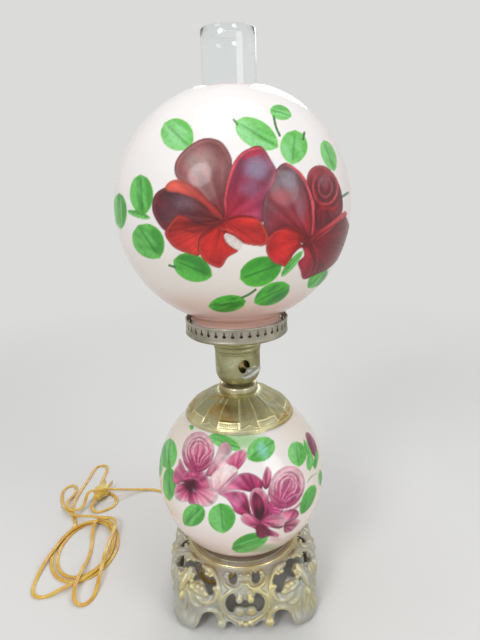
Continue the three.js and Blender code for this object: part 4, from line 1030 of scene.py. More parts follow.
def add_key():
    """A thumb paddle with pointed ends, its two faces sunk inside a raised rim."""
    half = [
        (PADDLE_NEAR, 3.2), (31.4, 7.8), (33.4, 11), (36.2, PADDLE_HALF), (39.4, 10.4), (41.4, 6.4),
        (PADDLE_FAR, 0),
    ]
    outline = closed_curve(half + [(x, -y) for x, y in half[-2::-1]], 5)
    middle = np.array([PADDLE_MIDDLE, 0])
    rings = [(middle + (outline - middle) * share, rise) for share, rise in PADDLE_STEPS]
    upper = np.concatenate([np.column_stack([ring, np.full(len(ring), rise)]) for ring, rise in rings])
    rows, columns = len(PADDLE_STEPS), len(outline)
    faces = grid_faces(rows, columns) + [list(range((rows - 1) * columns, rows * columns))]
    lower = [[corner + len(upper) for corner in face[::-1]] for face in faces]
    tilt = np.array(Matrix.Rotation(KEY_TILT, 3, "X"))
    outwards = np.array(Matrix.Rotation(TURN / 4, 3, "Y"))
    place = np.array(Matrix.Rotation(KEY_AZIMUTH - TURN / 4, 3, "Z"))
    lift = np.array([0, 0, KEY_HEIGHT])
    paddle = np.concatenate([upper, upper * [1, 1, -1]]) @ tilt.T
    boss = soften(KEY_BOSS, 0.4, closed=False)
    boss_points = round_points(boss, 40) @ outwards.T
    vertices, faces = joined([(paddle, faces + lower), (boss_points, grid_faces(len(boss), 40))])
    fit(add_mesh("key_paddle", vertices @ place.T + lift, faces, 38), "key", "grey_metal", pewter, "turn_key")
    shaft_points = round_points(KEY_SHAFT, 32) @ outwards.T @ place.T + lift
    pin = add_mesh("key_pin", shaft_points, grid_faces(len(KEY_SHAFT), 32))
    fit(pin, "key", "steel", steel, "key_shaft")


add_key()

# Plain pieces that stay as they are built
dress(steel, "threaded_rod", "base_washer", "base_locknut", "upper_locknut", "bulb_tip")
dress(black_plastic, "cord_bushing")
dress(inner_brass, "socket_cap", "terminal_screw_left", "terminal_screw_right", "centre_contact")
dress(porcelain, "socket_body")
dress(fibre, "socket_insulator")
dress(cord_plastic, "cord_inner")

# Clear chimney
CHIMNEY_LOW = 346.36
CHIMNEY_LENGTH = 312.64
CHIMNEY_TOP = CHIMNEY_LOW + CHIMNEY_LENGTH
CHIMNEY_WIDEST = 38.5
CHIMNEY_WALL = 1.8
# Radius, and height as a share of the length
CHIMNEY_ROWS = [(38, 0), (38, 0.06), (38.2, 0.1), (38.4, 0.14), (38.3, 0.19), (36.8, 0.26), (33.4, 0.34),
                (29.6, 0.42), (28.1, 0.475), (28, 0.55), (28, 0.8), (28, 1)]
# The rounded edge of the glass, in from its outside and away from its end
CHIMNEY_EDGE = [(0.05, 0.5), (0.4, 0.1), (0.9, 0), (1.4, 0.1), (1.75, 0.5)]


def add_chimney():
    curve = open_curve([(r, CHIMNEY_LOW + z * CHIMNEY_LENGTH) for r, z in CHIMNEY_ROWS], 6)
    outside = [(min(r, CHIMNEY_WIDEST), min(z, CHIMNEY_TOP)) for r, z in curve]
    foot, top = outside[0], outside[-1]
    outside = outside[1:-1]
    top_edge = [(top[0] - across, top[1] - along) for across, along in CHIMNEY_EDGE]
    foot_edge = [(foot[0] - across, foot[1] + along) for across, along in CHIMNEY_EDGE[::-1]]
    inside = [(r - CHIMNEY_WALL, z) for r, z in outside[::-1]]
    chimney = lathe("chimney_tube", [*outside, *top_edge, *inside, *foot_edge], 128, 80)
    fit(chimney, "chimney", "chimney_glass", chimney_glass, "chimney")


add_chimney()


# Painted glass. Paint is laid stroke by stroke, in display colours, over the points of the glass
CURVE_STEPS = 5
LINE_STEPS = 6
LEAST_WAY = 1e-9
CREASE_SHARE = 0.045
RIM_PLACE_SHARE = 0.035
RIM_WIDTH_SHARE = 0.028
LEAF_SOFT = 3.5
LEAF_MARGIN = 8
LEAF_LIGHT = (162, 228, 166)
LEAF_LIGHT_SHADE = (114, 204, 98)
LEAF_DEEP = (76, 188, 52)
LEAF_DEEP_SHADE = (42, 130, 40)
LEAF_EDGE = (118, 210, 74)
# Added to a stroke's number to seed its waves, by kind of stroke
FINE_SEED = 50
LINE_SEED = 9
HAZE_SEED = 30
LEAF_SEED = 100


def linear(colour):
    """Display colours, from 0 to 255, as linear light."""
    colour = np.clip(np.asarray(colour, float) / 255, 0, 1)
    return np.where(colour <= 0.04045, colour / 12.92, ((colour + 0.055) / 1.055) ** 2.4)


def ease(value, low, high):
    share = np.clip((value - low) / (high - low), 0, 1)
    return share * share * (3 - 2 * share)


def ridge(distance, width):
    return np.exp(-(distance / width) ** 2)


def blend(first, second, share):
    share = np.asarray(share)[..., None]
    return np.asarray(first, float) * (1 - share) + np.asarray(second, float) * share


def ripple(u, v, seed, waves=7):
    """Smooth irregular waves between about -1 and 1."""
    draw = np.random.default_rng(seed)
    total = np.zeros(len(u))
    for _ in range(waves):
        a, b, phase = draw.normal(size=2).tolist() + [draw.uniform(0, TURN)]
        total += np.sin(a * u + b * v + phase)
    return total / math.sqrt(waves) * 0.7


def nearest(start, end, places):
    """How far along the way from start to end each place lies, as a share, and how far off it."""
    way, offset = end - start, places - start
    share = np.clip(offset @ way / max(way @ way, LEAST_WAY), 0, 1)
    return share, np.linalg.norm(offset - share[:, None] * way, axis=1)


def depth_inside(outline, places):
    """How far each place lies inside a closed outline; negative outside."""
    least = np.full(len(places), np.inf)
    within = np.zeros(len(places), bool)
    for start, end in zip(outline, np.roll(outline, -1, axis=0)):
        least = np.minimum(least, nearest(start, end, places)[1])
        crosses = (start[1] > places[:, 1]) != (end[1] > places[:, 1])
        slant = (end[0] - start[0]) / (end[1] - start[1]) if end[1] != start[1] else 0
        within ^= crosses & (places[:, 0] < start[0] + (places[:, 1] - start[1]) * slant)
    return least * np.where(within, 1, -1)


class Canvas:
    """The colour and the cover of paint at each point of a glass, whose places are in canvas units."""

    def __init__(self, places, ground, shown):
        self.places = places
        self.colour = ground
        self.cover = np.zeros(len(places))
        self.shown = shown
        self.strokes = 0

    def near(self, outline, margin):
        """Numbers of the shown points in the outline's box."""
        low, high = outline.min(axis=0) - margin, outline.max(axis=0) + margin
        return np.flatnonzero(np.all((self.places > low) & (self.places < high), axis=1) & self.shown)

    def lay(self, chosen, mask, colour, body=1.0):
        """One stroke: paint over the chosen points, as far as the mask lets it through."""
        share = mask[:, None]
        self.colour[chosen] = self.colour[chosen] * (1 - share) + np.clip(colour, 0, 255) * share
        self.cover[chosen] = np.maximum(self.cover[chosen], mask * body)
        self.strokes += 1

    def petal(self, outline, heart, shades, soft=3.5, streaks=0.16, rim=None, crease=0.35):
        """A petal that is brushed outwards from its heart, darker along its edge."""
        outline, heart = closed_curve(outline, CURVE_STEPS), np.array(heart, float)
        chosen = self.near(outline, soft * 2)
        places = self.places[chosen]
        depth = depth_inside(outline, places)
        away = places - heart
        reach = np.linalg.norm(outline - heart, axis=1).max()
        share = np.clip(np.linalg.norm(away, axis=1) / reach, 0, 1)
        angle = np.arctan2(away[:, 1], away[:, 0])
        wave = ripple(angle * 9, share * 3.2, self.strokes)
        wave += 0.5 * ripple(angle * 23, share * 2.2, self.strokes + FINE_SEED)
        moved = np.clip(share + 0.10 * wave, 0, 1)
        stops = np.linspace(0, 1, len(shades))
        colour = np.column_stack([np.interp(moved, stops, channel) for channel in np.array(shades, float).T])
        size = np.sqrt(np.ptp(outline[:, 0]) * np.ptp(outline[:, 1]))
        shade = crease * np.exp(-np.maximum(depth, 0) / (CREASE_SHARE * size))
        colour *= ((1 + streaks * wave) * (1 - shade))[:, None]
        if rim is not None:
            light = ridge(depth - RIM_PLACE_SHARE * size, RIM_WIDTH_SHARE * size) * ease(share, 0.35, 0.9)
            colour = blend(colour, rim, 0.6 * light)
        self.lay(chosen, ease(depth, -soft, soft), colour)

    def line(self, points, width, colour, soft=3, strength=1.0, taper=True):
        """A brushed line that thins towards both ends."""
        path = open_curve(points, LINE_STEPS)
        chosen = self.near(path, width + soft * 2)
        places = self.places[chosen]
        least = np.full(len(places), np.inf)
        along = np.zeros(len(places))
        for i, (start, end) in enumerate(zip(path, path[1:])):
            share, gap = nearest(start, end, places)
            along = np.where(gap < least, (i + share) / (len(path) - 1), along)
            least = np.minimum(least, gap)
        half = width / 2 * (np.sin(np.clip(along, 0.02, 0.98) * math.pi) ** 0.5 if taper else 1.0)
        mask = (1 - ease(least, half - soft * 0.6, half + soft)) * strength
        wave = ripple(along * 30, along * 7, self.strokes + LINE_SEED)
        self.lay(chosen, mask, np.array(colour, float) * (1 + 0.1 * wave)[:, None])

    def haze(self, centre, radii, colour, strength, body=0.0, turn=0.0):
        """A soft patch without an edge, used both for paint and for painted sheens."""
        centre = np.array(centre, float)
        reach = max(radii) * 1.4
        chosen = self.near(np.array([centre - reach, centre + reach]), 0)
        cosine, sine = math.cos(turn), math.sin(turn)
        away = (self.places[chosen] - centre) @ np.array([[cosine, -sine], [sine, cosine]])
        far = np.linalg.norm(away / np.array(radii, float), axis=1)
        u, v = away[:, 0] / radii[0] * 3, away[:, 1] / radii[1] * 3
        wave = 0.12 * ripple(u, v, self.strokes + HAZE_SEED)
        self.lay(chosen, (1 - ease(far + wave, 0.25, 1.25)) * strength, np.array(colour, float), body)

    def leaf(self, base, tip, width, tone):
        """A leaf with its vein: light green at tone 0, deep green at tone 1."""
        base, tip = np.array(base, float), np.array(tip, float)
        way = tip - base
        length = np.linalg.norm(way)
        side = np.array([-way[1], way[0]]) / length
        steps = np.linspace(0, 1, 13)
        pointed = 0.12 * (steps > 0.6) * (steps - 0.6) * 2.2
        half = width / 2 * np.sin(math.pi * steps ** 0.93) ** (0.52 + pointed)
        spine = base + steps[:, None] * way
        outline = np.concatenate([spine + side * half[:, None], (spine - side * half[:, None])[-2:0:-1]])
        chosen = self.near(outline, LEAF_MARGIN)
        places = self.places[chosen]
        depth = depth_inside(outline, places)
        along = np.clip((places - base) @ way / length ** 2, 0, 1)
        across = (places - base) @ side / (width / 2)
        wave = ripple(along * 6 + across * 2.5, across * 5, self.strokes + LEAF_SEED)
        tones = np.full(len(places), float(tone))
        light, dark = blend(LEAF_LIGHT, LEAF_DEEP, tones), blend(LEAF_LIGHT_SHADE, LEAF_DEEP_SHADE, tones)
        colour = blend(light, dark, ease(0.5 + 0.35 * wave - 0.3 * across, 0.2, 0.9))
        colour = blend(colour, LEAF_EDGE, 0.45 * np.exp(-np.maximum(depth, 0) / (0.07 * width)))
        vein = ridge(across, 0.07) * ease(along, 0.02, 0.2) * (1 - ease(along, 0.8, 0.95))
        colour = blend(colour, dark * 0.72, 0.55 * vein)
        ribs = ridge(np.sin((along * 5.5 - np.abs(across) * 1.3) * math.pi), 0.18) * (np.abs(across) < 0.8)
        colour = blend(colour, dark * 0.85, 0.18 * ribs)
        self.lay(chosen, ease(depth, -LEAF_SOFT, LEAF_SOFT), colour)

    def leaves(self, rows):
        for base_x, base_y, tip_x, tip_y, width, tone in rows:
            self.leaf((base_x, base_y), (tip_x, tip_y), width, tone)


PAINTED_PAST_EDGE = 0.6
FRONT_REACH = 82
REAR_REACH = 1.2
SHARP_GLASS = 75
INSIDE_WHITE = (247, 240, 236)


class Glass:
    """A hollow glass of revolution with finer columns where the photograph shows it."""

    def __init__(self, outer, inner, front_step, rear_step):
        front = np.arange(-FRONT_REACH, FRONT_REACH, front_step)
        rear = np.arange(FRONT_REACH, 360 - FRONT_REACH, rear_step)
        azimuth = np.radians(np.concatenate([front, rear]))
        profile = np.array([*outer, *inner])
        radius, height = profile.T
        x = radius[:, None] * np.sin(azimuth)
        y = -radius[:, None] * np.cos(azimuth)
        z = np.repeat(height[:, None], len(azimuth), axis=1)
        self.points = np.stack([x, y, z], axis=-1).reshape(-1, 3)
        self.angles = np.tile(azimuth, len(profile))
        self.outside = np.repeat(np.arange(len(profile)), len(azimuth)) < len(outer)
        self.faces = grid_faces(len(profile), len(azimuth), wrap_rows=True)

    def ground(self, colour, tints, spans, strength, seed):
        """The unpainted colour of each point: tints laid one over another, faintly clouded, white inside."""
        colour = np.repeat([colour], len(self.points), axis=0)
        for tint, share in tints:
            colour = blend(colour, tint, share)
        x, y, z = self.points.T
        wave = ripple(x / spans[0], z / spans[1] + y / spans[2], seed)
        colour *= (1 + strength * wave)[:, None]
        colour[~self.outside] = INSIDE_WHITE
        return np.clip(colour, 0, 255)

    def canvas_places(self, centre, radius, origin, scale):
        """Each point's place on the photograph's canvas, and if it is in reach.

        The canvas runs on past the sphere's outline, to its far side.
        """
        middle = np.array([0, 0, centre])
        to_camera = np.array(CAMERA_PLACE) / MM - middle
        far = np.linalg.norm(to_camera)
        to_camera /= far
        arm = self.points - middle
        arm /= np.linalg.norm(arm, axis=1)[:, None]
        ahead = np.clip(arm @ to_camera, -1, 1)
        aside = arm - ahead[:, None] * to_camera
        aside /= np.maximum(np.linalg.norm(aside, axis=1), WELD)[:, None]
        angle, edge = np.arccos(ahead), math.acos(radius / far)
        outline = middle + radius * (math.cos(edge) * to_camera + math.sin(edge) * aside)
        pixels = photo_pixels(np.where((angle < edge)[:, None], self.points, outline) * MM)
        past = np.maximum(angle - edge, 0)[:, None]
        pixels += (pixels - photo_pixels(middle[None] * MM)) * past
        return (pixels - origin) * scale, self.outside & (angle < edge + PAINTED_PAST_EDGE)

    def turn_canvas(self, canvas, centre, radius, middle, scale):
        """Moves the canvas to the side that the photograph doesn't show, with its middle at the rear."""
        turned = self.angles - TURN / 2
        away = np.column_stack([turned * radius, centre - self.points[:, 2]])
        canvas.places = np.array(middle) + away * scale
        canvas.shown = self.outside & (np.abs(turned) < REAR_REACH)

    def build(self, name, body, finish, node, canvas):
        colours = np.column_stack([linear(canvas.colour), np.ones(len(self.points))])
        obj = add_mesh(name, self.points, self.faces, SHARP_GLASS, weld=False,
                       attributes={"paint": colours, "cover": np.where(self.outside, canvas.cover, 0)})
        return fit(obj, body, "opal_glass", finish, node)


# Globe
GLOBE_CENTRE = 484
GLOBE_RADIUS = 126.85
GLOBE_INNER = 124
GLOBE_NECK = 51
GLOBE_NECK_INNER = 48
GLOBE_LOW = 351.46
GLOBE_MOUTH = 46.3
GLOBE_MOUTH_INNER = 44.5
GLOBE_STEP = 0.45
GLOBE_REAR_STEP = 0.8
GLOBE_ROWS = 300
GLOBE_INNER_ROWS = 30
GLOBE_NECK_ROWS = 6
GLOBE_EDGE = 0.4
GLOBE_CANVAS_ORIGIN = np.array([105, 85])
GLOBE_CANVAS_SCALE = 6.272
GLOBE_REAR_MIDDLE = (700, 750)
GLOBE_REAR_SCALE = 6.6


def sphere_height(radius, across):
    """How far above a sphere's centre its wall is, at a distance from the axis."""
    return math.sqrt(radius ** 2 - across ** 2)


def globe_profile():
    mouth = GLOBE_CENTRE + sphere_height(GLOBE_RADIUS, GLOBE_MOUTH)
    shoulder = GLOBE_CENTRE - sphere_height(GLOBE_RADIUS, GLOBE_NECK + 1.5)
    inner_mouth = GLOBE_CENTRE + sphere_height(GLOBE_INNER, GLOBE_MOUTH_INNER)
    inner_shoulder = GLOBE_CENTRE - sphere_height(GLOBE_INNER, GLOBE_NECK_INNER + 1)
    neck = [(GLOBE_NECK, z) for z in np.linspace(GLOBE_LOW + 2, shoulder - 2.4, GLOBE_NECK_ROWS)]
    outer = [
        (GLOBE_NECK - GLOBE_EDGE, GLOBE_LOW), (GLOBE_NECK, GLOBE_LOW + GLOBE_EDGE), *neck,
        (GLOBE_NECK + 0.3, shoulder - 1.2),
        *sphere_arc(GLOBE_RADIUS, GLOBE_CENTRE, shoulder, mouth, GLOBE_ROWS),
        (GLOBE_MOUTH - 0.6, mouth + 0.1), (GLOBE_MOUTH_INNER + 0.5, mouth - 0.3),
    ]
    inner = [
        (GLOBE_MOUTH_INNER, inner_mouth + 0.7),
        *sphere_arc(GLOBE_INNER, GLOBE_CENTRE, inner_shoulder, inner_mouth, GLOBE_INNER_ROWS)[::-1],
        (GLOBE_NECK_INNER, inner_shoulder - 2), (GLOBE_NECK_INNER, GLOBE_LOW + GLOBE_EDGE),
        (GLOBE_NECK_INNER + GLOBE_EDGE, GLOBE_LOW),
    ]
    return outer, inner


def globe_ground(glass):
    """White glass with a pink blush at its foot, its mouth and its rear, and painted light on its neck."""
    rise = glass.points[:, 2] - GLOBE_CENTRE
    behind = ease(np.abs(glass.angles - TURN * (glass.angles > TURN / 2)), 0.75, 1.8)
    tints = [
        ((238, 229, 219), 0.85 * ease(-rise, -10, 75)),
        ((213, 164, 152), 0.95 * ease(-rise, 62, 118)),
        ((243, 208, 205), 0.75 * behind * (1 - ease(-rise, 40, 100))),
        ((226, 164, 164), 0.8 * ease(rise, 115.5, 119.5)),
        # Painted light: the last two tints make the band just above the gallery and the neck inside it paler,
        # where the shoulder and the gallery shade them.
        ((238, 192, 174), 0.9 * ease(-rise, 111, 116)),
        ((244, 228, 228), 0.95 * ease(-rise, 121, 125)),
    ]
    return glass.ground((252.0, 245, 243), tints, (34, 30, 40), 0.008, 3)


# Colours of the globe's rose edges and creases
ORANGE_EDGE = (222, 92, 80)
ROSE_EDGE = (222, 84, 96)
CREASE = (86, 14, 22)


def paint_left_rose(canvas):
    heart = (748, 850)
    canvas.petal([
        (560, 800), (700, 780), (800, 800), (900, 800), (960, 860), (860, 930), (700, 920), (580, 900),
    ], heart, [(168, 44, 46), (150, 36, 42)])
    canvas.petal([
        (745, 835), (690, 800), (600, 690), (500, 610), (446, 575), (438, 500), (478, 428), (560, 360),
        (640, 333), (722, 352), (772, 412), (797, 482), (786, 560), (762, 650), (752, 760),
    ], heart, [(150, 46, 50), (128, 58, 62), (142, 92, 92), (124, 62, 66)], rim=(178, 116, 112))
    # Painted reflections: the pale grey patches laid over the dark upper petal.
    canvas.haze((590, 470), (120, 105), (196, 182, 172), 0.55)
    canvas.haze((655, 675), (60, 75), (176, 150, 146), 0.4)
    canvas.line([(450, 585), (560, 640), (650, 730), (742, 838)], 12, (190, 72, 72), strength=0.8)
    canvas.petal([
        (760, 835), (750, 700), (778, 590), (800, 500), (850, 430), (910, 395), (962, 380), (1000, 404),
        (1046, 480), (1078, 545), (1062, 620), (1010, 700), (990, 800), (985, 862), (880, 835),
    ], heart, [(196, 40, 62), (176, 52, 84), (150, 66, 96), (164, 50, 74)], rim=(190, 92, 112))
    # Partly painted reflection, partly grey-violet paint: the bluish and mauve patches on this petal.
    canvas.haze((955, 520), (100, 95), (150, 154, 178), 0.75)
    canvas.haze((905, 650), (80, 70), (160, 128, 160), 0.5)
    canvas.line([
        (757, 815), (756, 700), (786, 570), (828, 472), (900, 412), (985, 396),
    ], 16, ROSE_EDGE, strength=0.9)
    canvas.line([(870, 470), (905, 440), (985, 418)], 22, (196, 52, 76), strength=0.8)
    canvas.petal([
        (745, 845), (640, 760), (560, 702), (470, 652), (385, 642), (322, 678), (296, 740), (308, 820),
        (372, 912), (430, 890), (500, 856), (600, 862), (700, 856),
    ], heart, [(150, 40, 42), (112, 42, 48), (104, 62, 72), (88, 34, 42)], streaks=0.22, rim=(150, 66, 70))
    # Painted reflection: a mauve-grey sheen on the dark lower petal.
    canvas.haze((500, 745), (90, 45), (138, 116, 130), 0.55, turn=0.25)
    canvas.petal([
        (376, 642), (412, 602), (470, 596), (540, 622), (600, 668), (660, 735), (742, 842), (690, 822),
        (624, 756), (548, 704), (460, 676), (400, 668),
    ], heart, [(186, 52, 54), (206, 70, 62), (226, 100, 84)], crease=0.2)
    canvas.petal([
        (748, 856), (660, 874), (560, 852), (470, 812), (418, 850), (376, 922), (398, 980), (450, 1030),
        (540, 1062), (592, 1068), (606, 985), (660, 915), (720, 884),
    ], heart, [(128, 26, 32), (170, 44, 42), (198, 52, 46), (180, 42, 42)], streaks=0.22, rim=(214, 86, 74))
    canvas.line([(740, 868), (640, 900), (560, 920), (470, 900)], 16, (120, 28, 34), soft=8, strength=0.55)
    canvas.petal([
        (742, 872), (680, 902), (610, 952), (583, 1010), (600, 1072), (650, 1122), (712, 1147), (742, 1128),
        (772, 1080), (836, 1040), (792, 1012), (756, 965), (752, 925),
    ], heart, [(168, 34, 34), (204, 42, 36), (212, 44, 40), (196, 36, 38)], rim=(226, 96, 84))
    canvas.petal([
        (742, 862), (800, 824), (880, 816), (952, 836), (1000, 890), (1027, 962), (1000, 1006), (930, 1006),
        (862, 990), (812, 950), (744, 922), (712, 900),
    ], heart, [(176, 34, 38), (202, 46, 44), (210, 52, 46), (192, 38, 40)], rim=(228, 110, 92))
    canvas.petal([
        (748, 938), (800, 952), (862, 988), (840, 1034), (790, 1012), (756, 978),
    ], (748, 938), [(226, 214, 208), (240, 232, 226)], streaks=0.02, crease=0.1)
    canvas.line([(716, 902), (780, 912), (850, 952)], 10, ORANGE_EDGE, strength=0.75)
    for points in ([(740, 858), (690, 880), (600, 950), (586, 1040)], [(748, 852), (860, 822), (960, 838)],
                   [(750, 850), (720, 790), (640, 720)], [(752, 850), (680, 852), (560, 858)]):
        canvas.line(points, 6, CREASE, soft=4, strength=0.6)


# Rings of the right rose's wound petals: half width, half height, colour and width of the line
WOUND_RINGS = [
    (78, 108, (196, 80, 86), 12), (58, 84, (92, 36, 46), 14), (42, 62, (170, 84, 88), 10),
    (26, 42, (88, 40, 50), 14),
]
WOUND_MIDDLE = (1382, 640)
WOUND_ANGLES = np.linspace(-0.9, 4.4, 11)


def paint_right_rose(canvas):
    heart = (1290, 972)
    canvas.petal([
        (1040, 860), (1180, 830), (1310, 780), (1420, 840), (1400, 930), (1330, 1010), (1250, 1000),
        (1160, 950), (1060, 940),
    ], heart, [(170, 40, 50), (150, 30, 42)])
    canvas.petal([
        (1292, 965), (1215, 905), (1110, 885), (1040, 968), (1002, 905), (983, 800), (998, 690),
        (1046, 595), (1082, 520), (1132, 489), (1192, 520), (1242, 590), (1282, 680), (1302, 780),
        (1310, 880),
    ], heart, [(128, 24, 34), (160, 40, 50), (150, 52, 66), (122, 84, 94), (116, 72, 82)],
        rim=(170, 96, 104))
    canvas.haze((1090, 700), (80, 60), (190, 56, 66), 0.6)
    # Painted reflections: grey-violet sheens on the dark petal.
    canvas.haze((1150, 590), (75, 80), (138, 134, 150), 0.65)
    canvas.haze((1225, 760), (36, 120), (140, 128, 142), 0.45)
    canvas.line([
        (1136, 492), (1214, 545), (1266, 622), (1298, 720), (1308, 830), (1298, 940),
    ], 18, ROSE_EDGE)
    canvas.line([(1200, 560), (1250, 640), (1280, 740), (1290, 860)], 10, CREASE, soft=6, strength=0.5)
    canvas.petal([
        (1312, 740), (1282, 650), (1266, 590), (1288, 530), (1342, 503), (1402, 523), (1452, 590),
        (1482, 670), (1490, 782), (1452, 836), (1392, 876), (1330, 910), (1316, 850),
    ], (1380, 760), [(136, 24, 36), (126, 34, 44), (150, 62, 70)], rim=(196, 96, 100))
    for across, up, colour, width in WOUND_RINGS:
        ring = np.column_stack([across * np.cos(WOUND_ANGLES), up * np.sin(WOUND_ANGLES)])
        canvas.line(ring + WOUND_MIDDLE, width, colour, soft=5, strength=0.85)
    # Painted reflection: a grey sheen on the wound petals.
    canvas.haze((1370, 600), (42, 50), (140, 110, 118), 0.55)
    canvas.line([
        (1312, 640), (1330, 710), (1372, 770), (1440, 770), (1478, 710),
    ], 14, (176, 34, 42), strength=0.8)
    canvas.petal([
        (1298, 985), (1380, 905), (1450, 852), (1494, 806), (1520, 846), (1536, 910), (1528, 980),
        (1500, 1046), (1456, 1100), (1400, 1152), (1330, 1186), (1246, 1218), (1226, 1160), (1212, 1112),
        (1262, 1062), (1228, 1004),
    ], heart, [(150, 24, 36), (136, 20, 34), (122, 16, 32), (108, 14, 30)], streaks=0.2, rim=(160, 40, 54))
    canvas.petal([
        (1294, 988), (1356, 914), (1430, 850), (1500, 794), (1514, 818), (1440, 884), (1370, 948),
    ], heart, [(150, 30, 42), (196, 56, 66), (206, 74, 80)], crease=0.15)
    canvas.petal([
        (1292, 975), (1226, 984), (1240, 1012), (1206, 1036), (1170, 1082), (1150, 1144), (1100, 1130),
        (1048, 1106), (1013, 1050), (1013, 985), (1042, 935), (1100, 905), (1180, 903), (1244, 940),
    ], heart, [(150, 24, 34), (190, 36, 38), (206, 42, 40), (190, 34, 38)], rim=(222, 90, 82))
    canvas.petal([
        (1240, 1005), (1285, 1040), (1308, 1110), (1290, 1180), (1244, 1214), (1226, 1160), (1212, 1112),
        (1250, 1070),
    ], heart, [(176, 38, 54), (170, 40, 58), (150, 30, 48)], rim=(206, 84, 96))
    canvas.line([
        (1300, 985), (1330, 1060), (1330, 1130), (1300, 1185),
    ], 8, (160, 50, 64), soft=5, strength=0.7)
    for points in ([(1290, 975), (1240, 930), (1150, 900)], [(1295, 980), (1360, 930), (1480, 850)],
                   [(1290, 985), (1230, 990)], [(1316, 780), (1330, 870), (1310, 950)]):
        canvas.line(points, 7, CREASE, soft=4, strength=0.65)


# Leaves near the top are given pale tones and those near the foot deep ones; the pale tones of the upper
# leaves are partly a painted sheen.
# Base x, base y, tip x, tip y, width and tone of each leaf, in canvas units
GLOBE_LEAVES = [
    (372, 236, 540, 392, 196, 0.12), (820, 225, 1086, 392, 172, 0.10), (1036, 150, 1170, 196, 92, 0.30),
    (1192, 282, 1176, 500, 172, 0.14), (1370, 346, 1438, 540, 88, 0.28), (222, 560, 236, 822, 146, 0.55),
    (140, 790, 285, 836, 42, 0.50), (88, 676, 100, 905, 86, 0.70), (206, 880, 344, 1086, 190, 0.62),
    (430, 1096, 672, 1200, 168, 0.78), (846, 1216, 1112, 1120, 182, 0.92), (1106, 1200, 1240, 1040, 46, 0.55),
    (1158, 1256, 934, 1366, 128, 0.95), (884, 1356, 646, 1388, 106, 0.98), (1392, 1150, 1272, 1272, 84, 0.85),
    (1560, 1000, 1456, 1160, 64, 0.75),
]
GLOBE_STEMS = [
    [(1058, 196), (1072, 260), (1096, 318)], [(808, 218), (830, 246)],
    [(860, 1334), (905, 1312), (944, 1284)], [(404, 1132), (440, 1142)], [(1488, 700), (1524, 676)],
    [(1250, 300), (1243, 340)],
]
GLOBE_TOP_LEAF = (1106, 1200, 1240, 1040, 46, 0.45)
GLOBE_REAR_LEAF = (1090, 560, 1180, 790, 150, 0.5)
# The globe's leaves with their base between these are painted at the rear too
REAR_LEAVES_FROM = 200
REAR_LEAVES_TO = 850
STEM_WIDTH = 13
STEM_GREEN = (70, 128, 66)


def add_globe():
    glass = Glass(*globe_profile(), GLOBE_STEP, GLOBE_REAR_STEP)
    places, shown = glass.canvas_places(GLOBE_CENTRE, GLOBE_RADIUS, GLOBE_CANVAS_ORIGIN, GLOBE_CANVAS_SCALE)
    canvas = Canvas(places, globe_ground(glass), shown)
    canvas.leaves(GLOBE_LEAVES)
    for stem in GLOBE_STEMS:
        canvas.line(stem, STEM_WIDTH, STEM_GREEN, taper=False)
    paint_right_rose(canvas)
    paint_left_rose(canvas)
    canvas.leaves([GLOBE_TOP_LEAF])
    glass.turn_canvas(canvas, GLOBE_CENTRE, GLOBE_RADIUS, GLOBE_REAR_MIDDLE, GLOBE_REAR_SCALE)
    canvas.leaves([leaf for leaf in GLOBE_LEAVES if REAR_LEAVES_FROM < leaf[0] < REAR_LEAVES_TO])
    canvas.leaves([GLOBE_REAR_LEAF])
    paint_left_rose(canvas)
    glass.build("globe_painted", "globe", globe_paint, "globe_shade", canvas)


add_globe()


# Ball
BALL_CENTRE = 163
BALL_RADIUS = 101.9
BALL_INNER = 98.5
BALL_LOW = 73.8
BALL_HIGH = 256.83
BALL_STEP = 0.55
BALL_REAR_STEP = 0.9
BALL_ROWS = 232
BALL_INNER_ROWS = 24
BALL_CANVAS_ORIGIN = np.array([150, 420])
BALL_CANVAS_SCALE = 8.476
BALL_REAR_MIDDLE = (500, 430)
BALL_REAR_SCALE = 7.6

# Pinks of the ball's roses
PALE_PINK = (244, 208, 214)
SOFT_PINK = (226, 150, 172)
ROSE_PINK = (205, 98, 138)
MAGENTA = (176, 52, 104)
WINE = (128, 34, 72)
DARK_HEART = (74, 18, 40)
BUD_ROUND = TURN * 11 / 12
BUD_POINTS = 12
BUD_EDGE_SPAN = (math.pi * 0.75, math.pi * 2.1)
BUD_FOLD_SHIFT = (11, 0)
# Each petal of a bud inside its outermost: its scale and its shift
BUD_PETALS = [(0.8, (0.04, -0.02)), (0.58, (-0.02, -0.06)), (0.36, (0.05, -0.1))]
# Each fold down a bud: its place across, its bend and its reach, as shares of the bud's half width and height
BUD_FOLDS = [(-0.34, -0.16, 0.62), (-0.06, 0.06, 0.5), (0.22, 0.2, 0.58), (0.46, 0.34, 0.5)]


def ball_profile():
    low, high = BALL_LOW + 0.3, BALL_HIGH - 0.2
    outer = sphere_arc(BALL_RADIUS, BALL_CENTRE, low, high, BALL_ROWS)
    return outer, sphere_arc(BALL_INNER, BALL_CENTRE, low, high - 0.2, BALL_INNER_ROWS)[::-1]


def ball_ground(glass):
    """White glass that turns cream to its left and right, and pink at its foot."""
    fall = BALL_CENTRE - glass.points[:, 2]
    tints = [
        ((240, 222, 200), 0.6 * ease(np.abs(np.sin(glass.angles)), 0.45, 1.0)),
        ((242, 216, 204), 0.8 * ease(fall, -10, 58)),
        ((214, 150, 152), 0.9 * ease(fall, 58, 84)),
    ]
    return glass.ground((250.0, 243, 241), tints, (26, 22, 30), 0.01, 5)


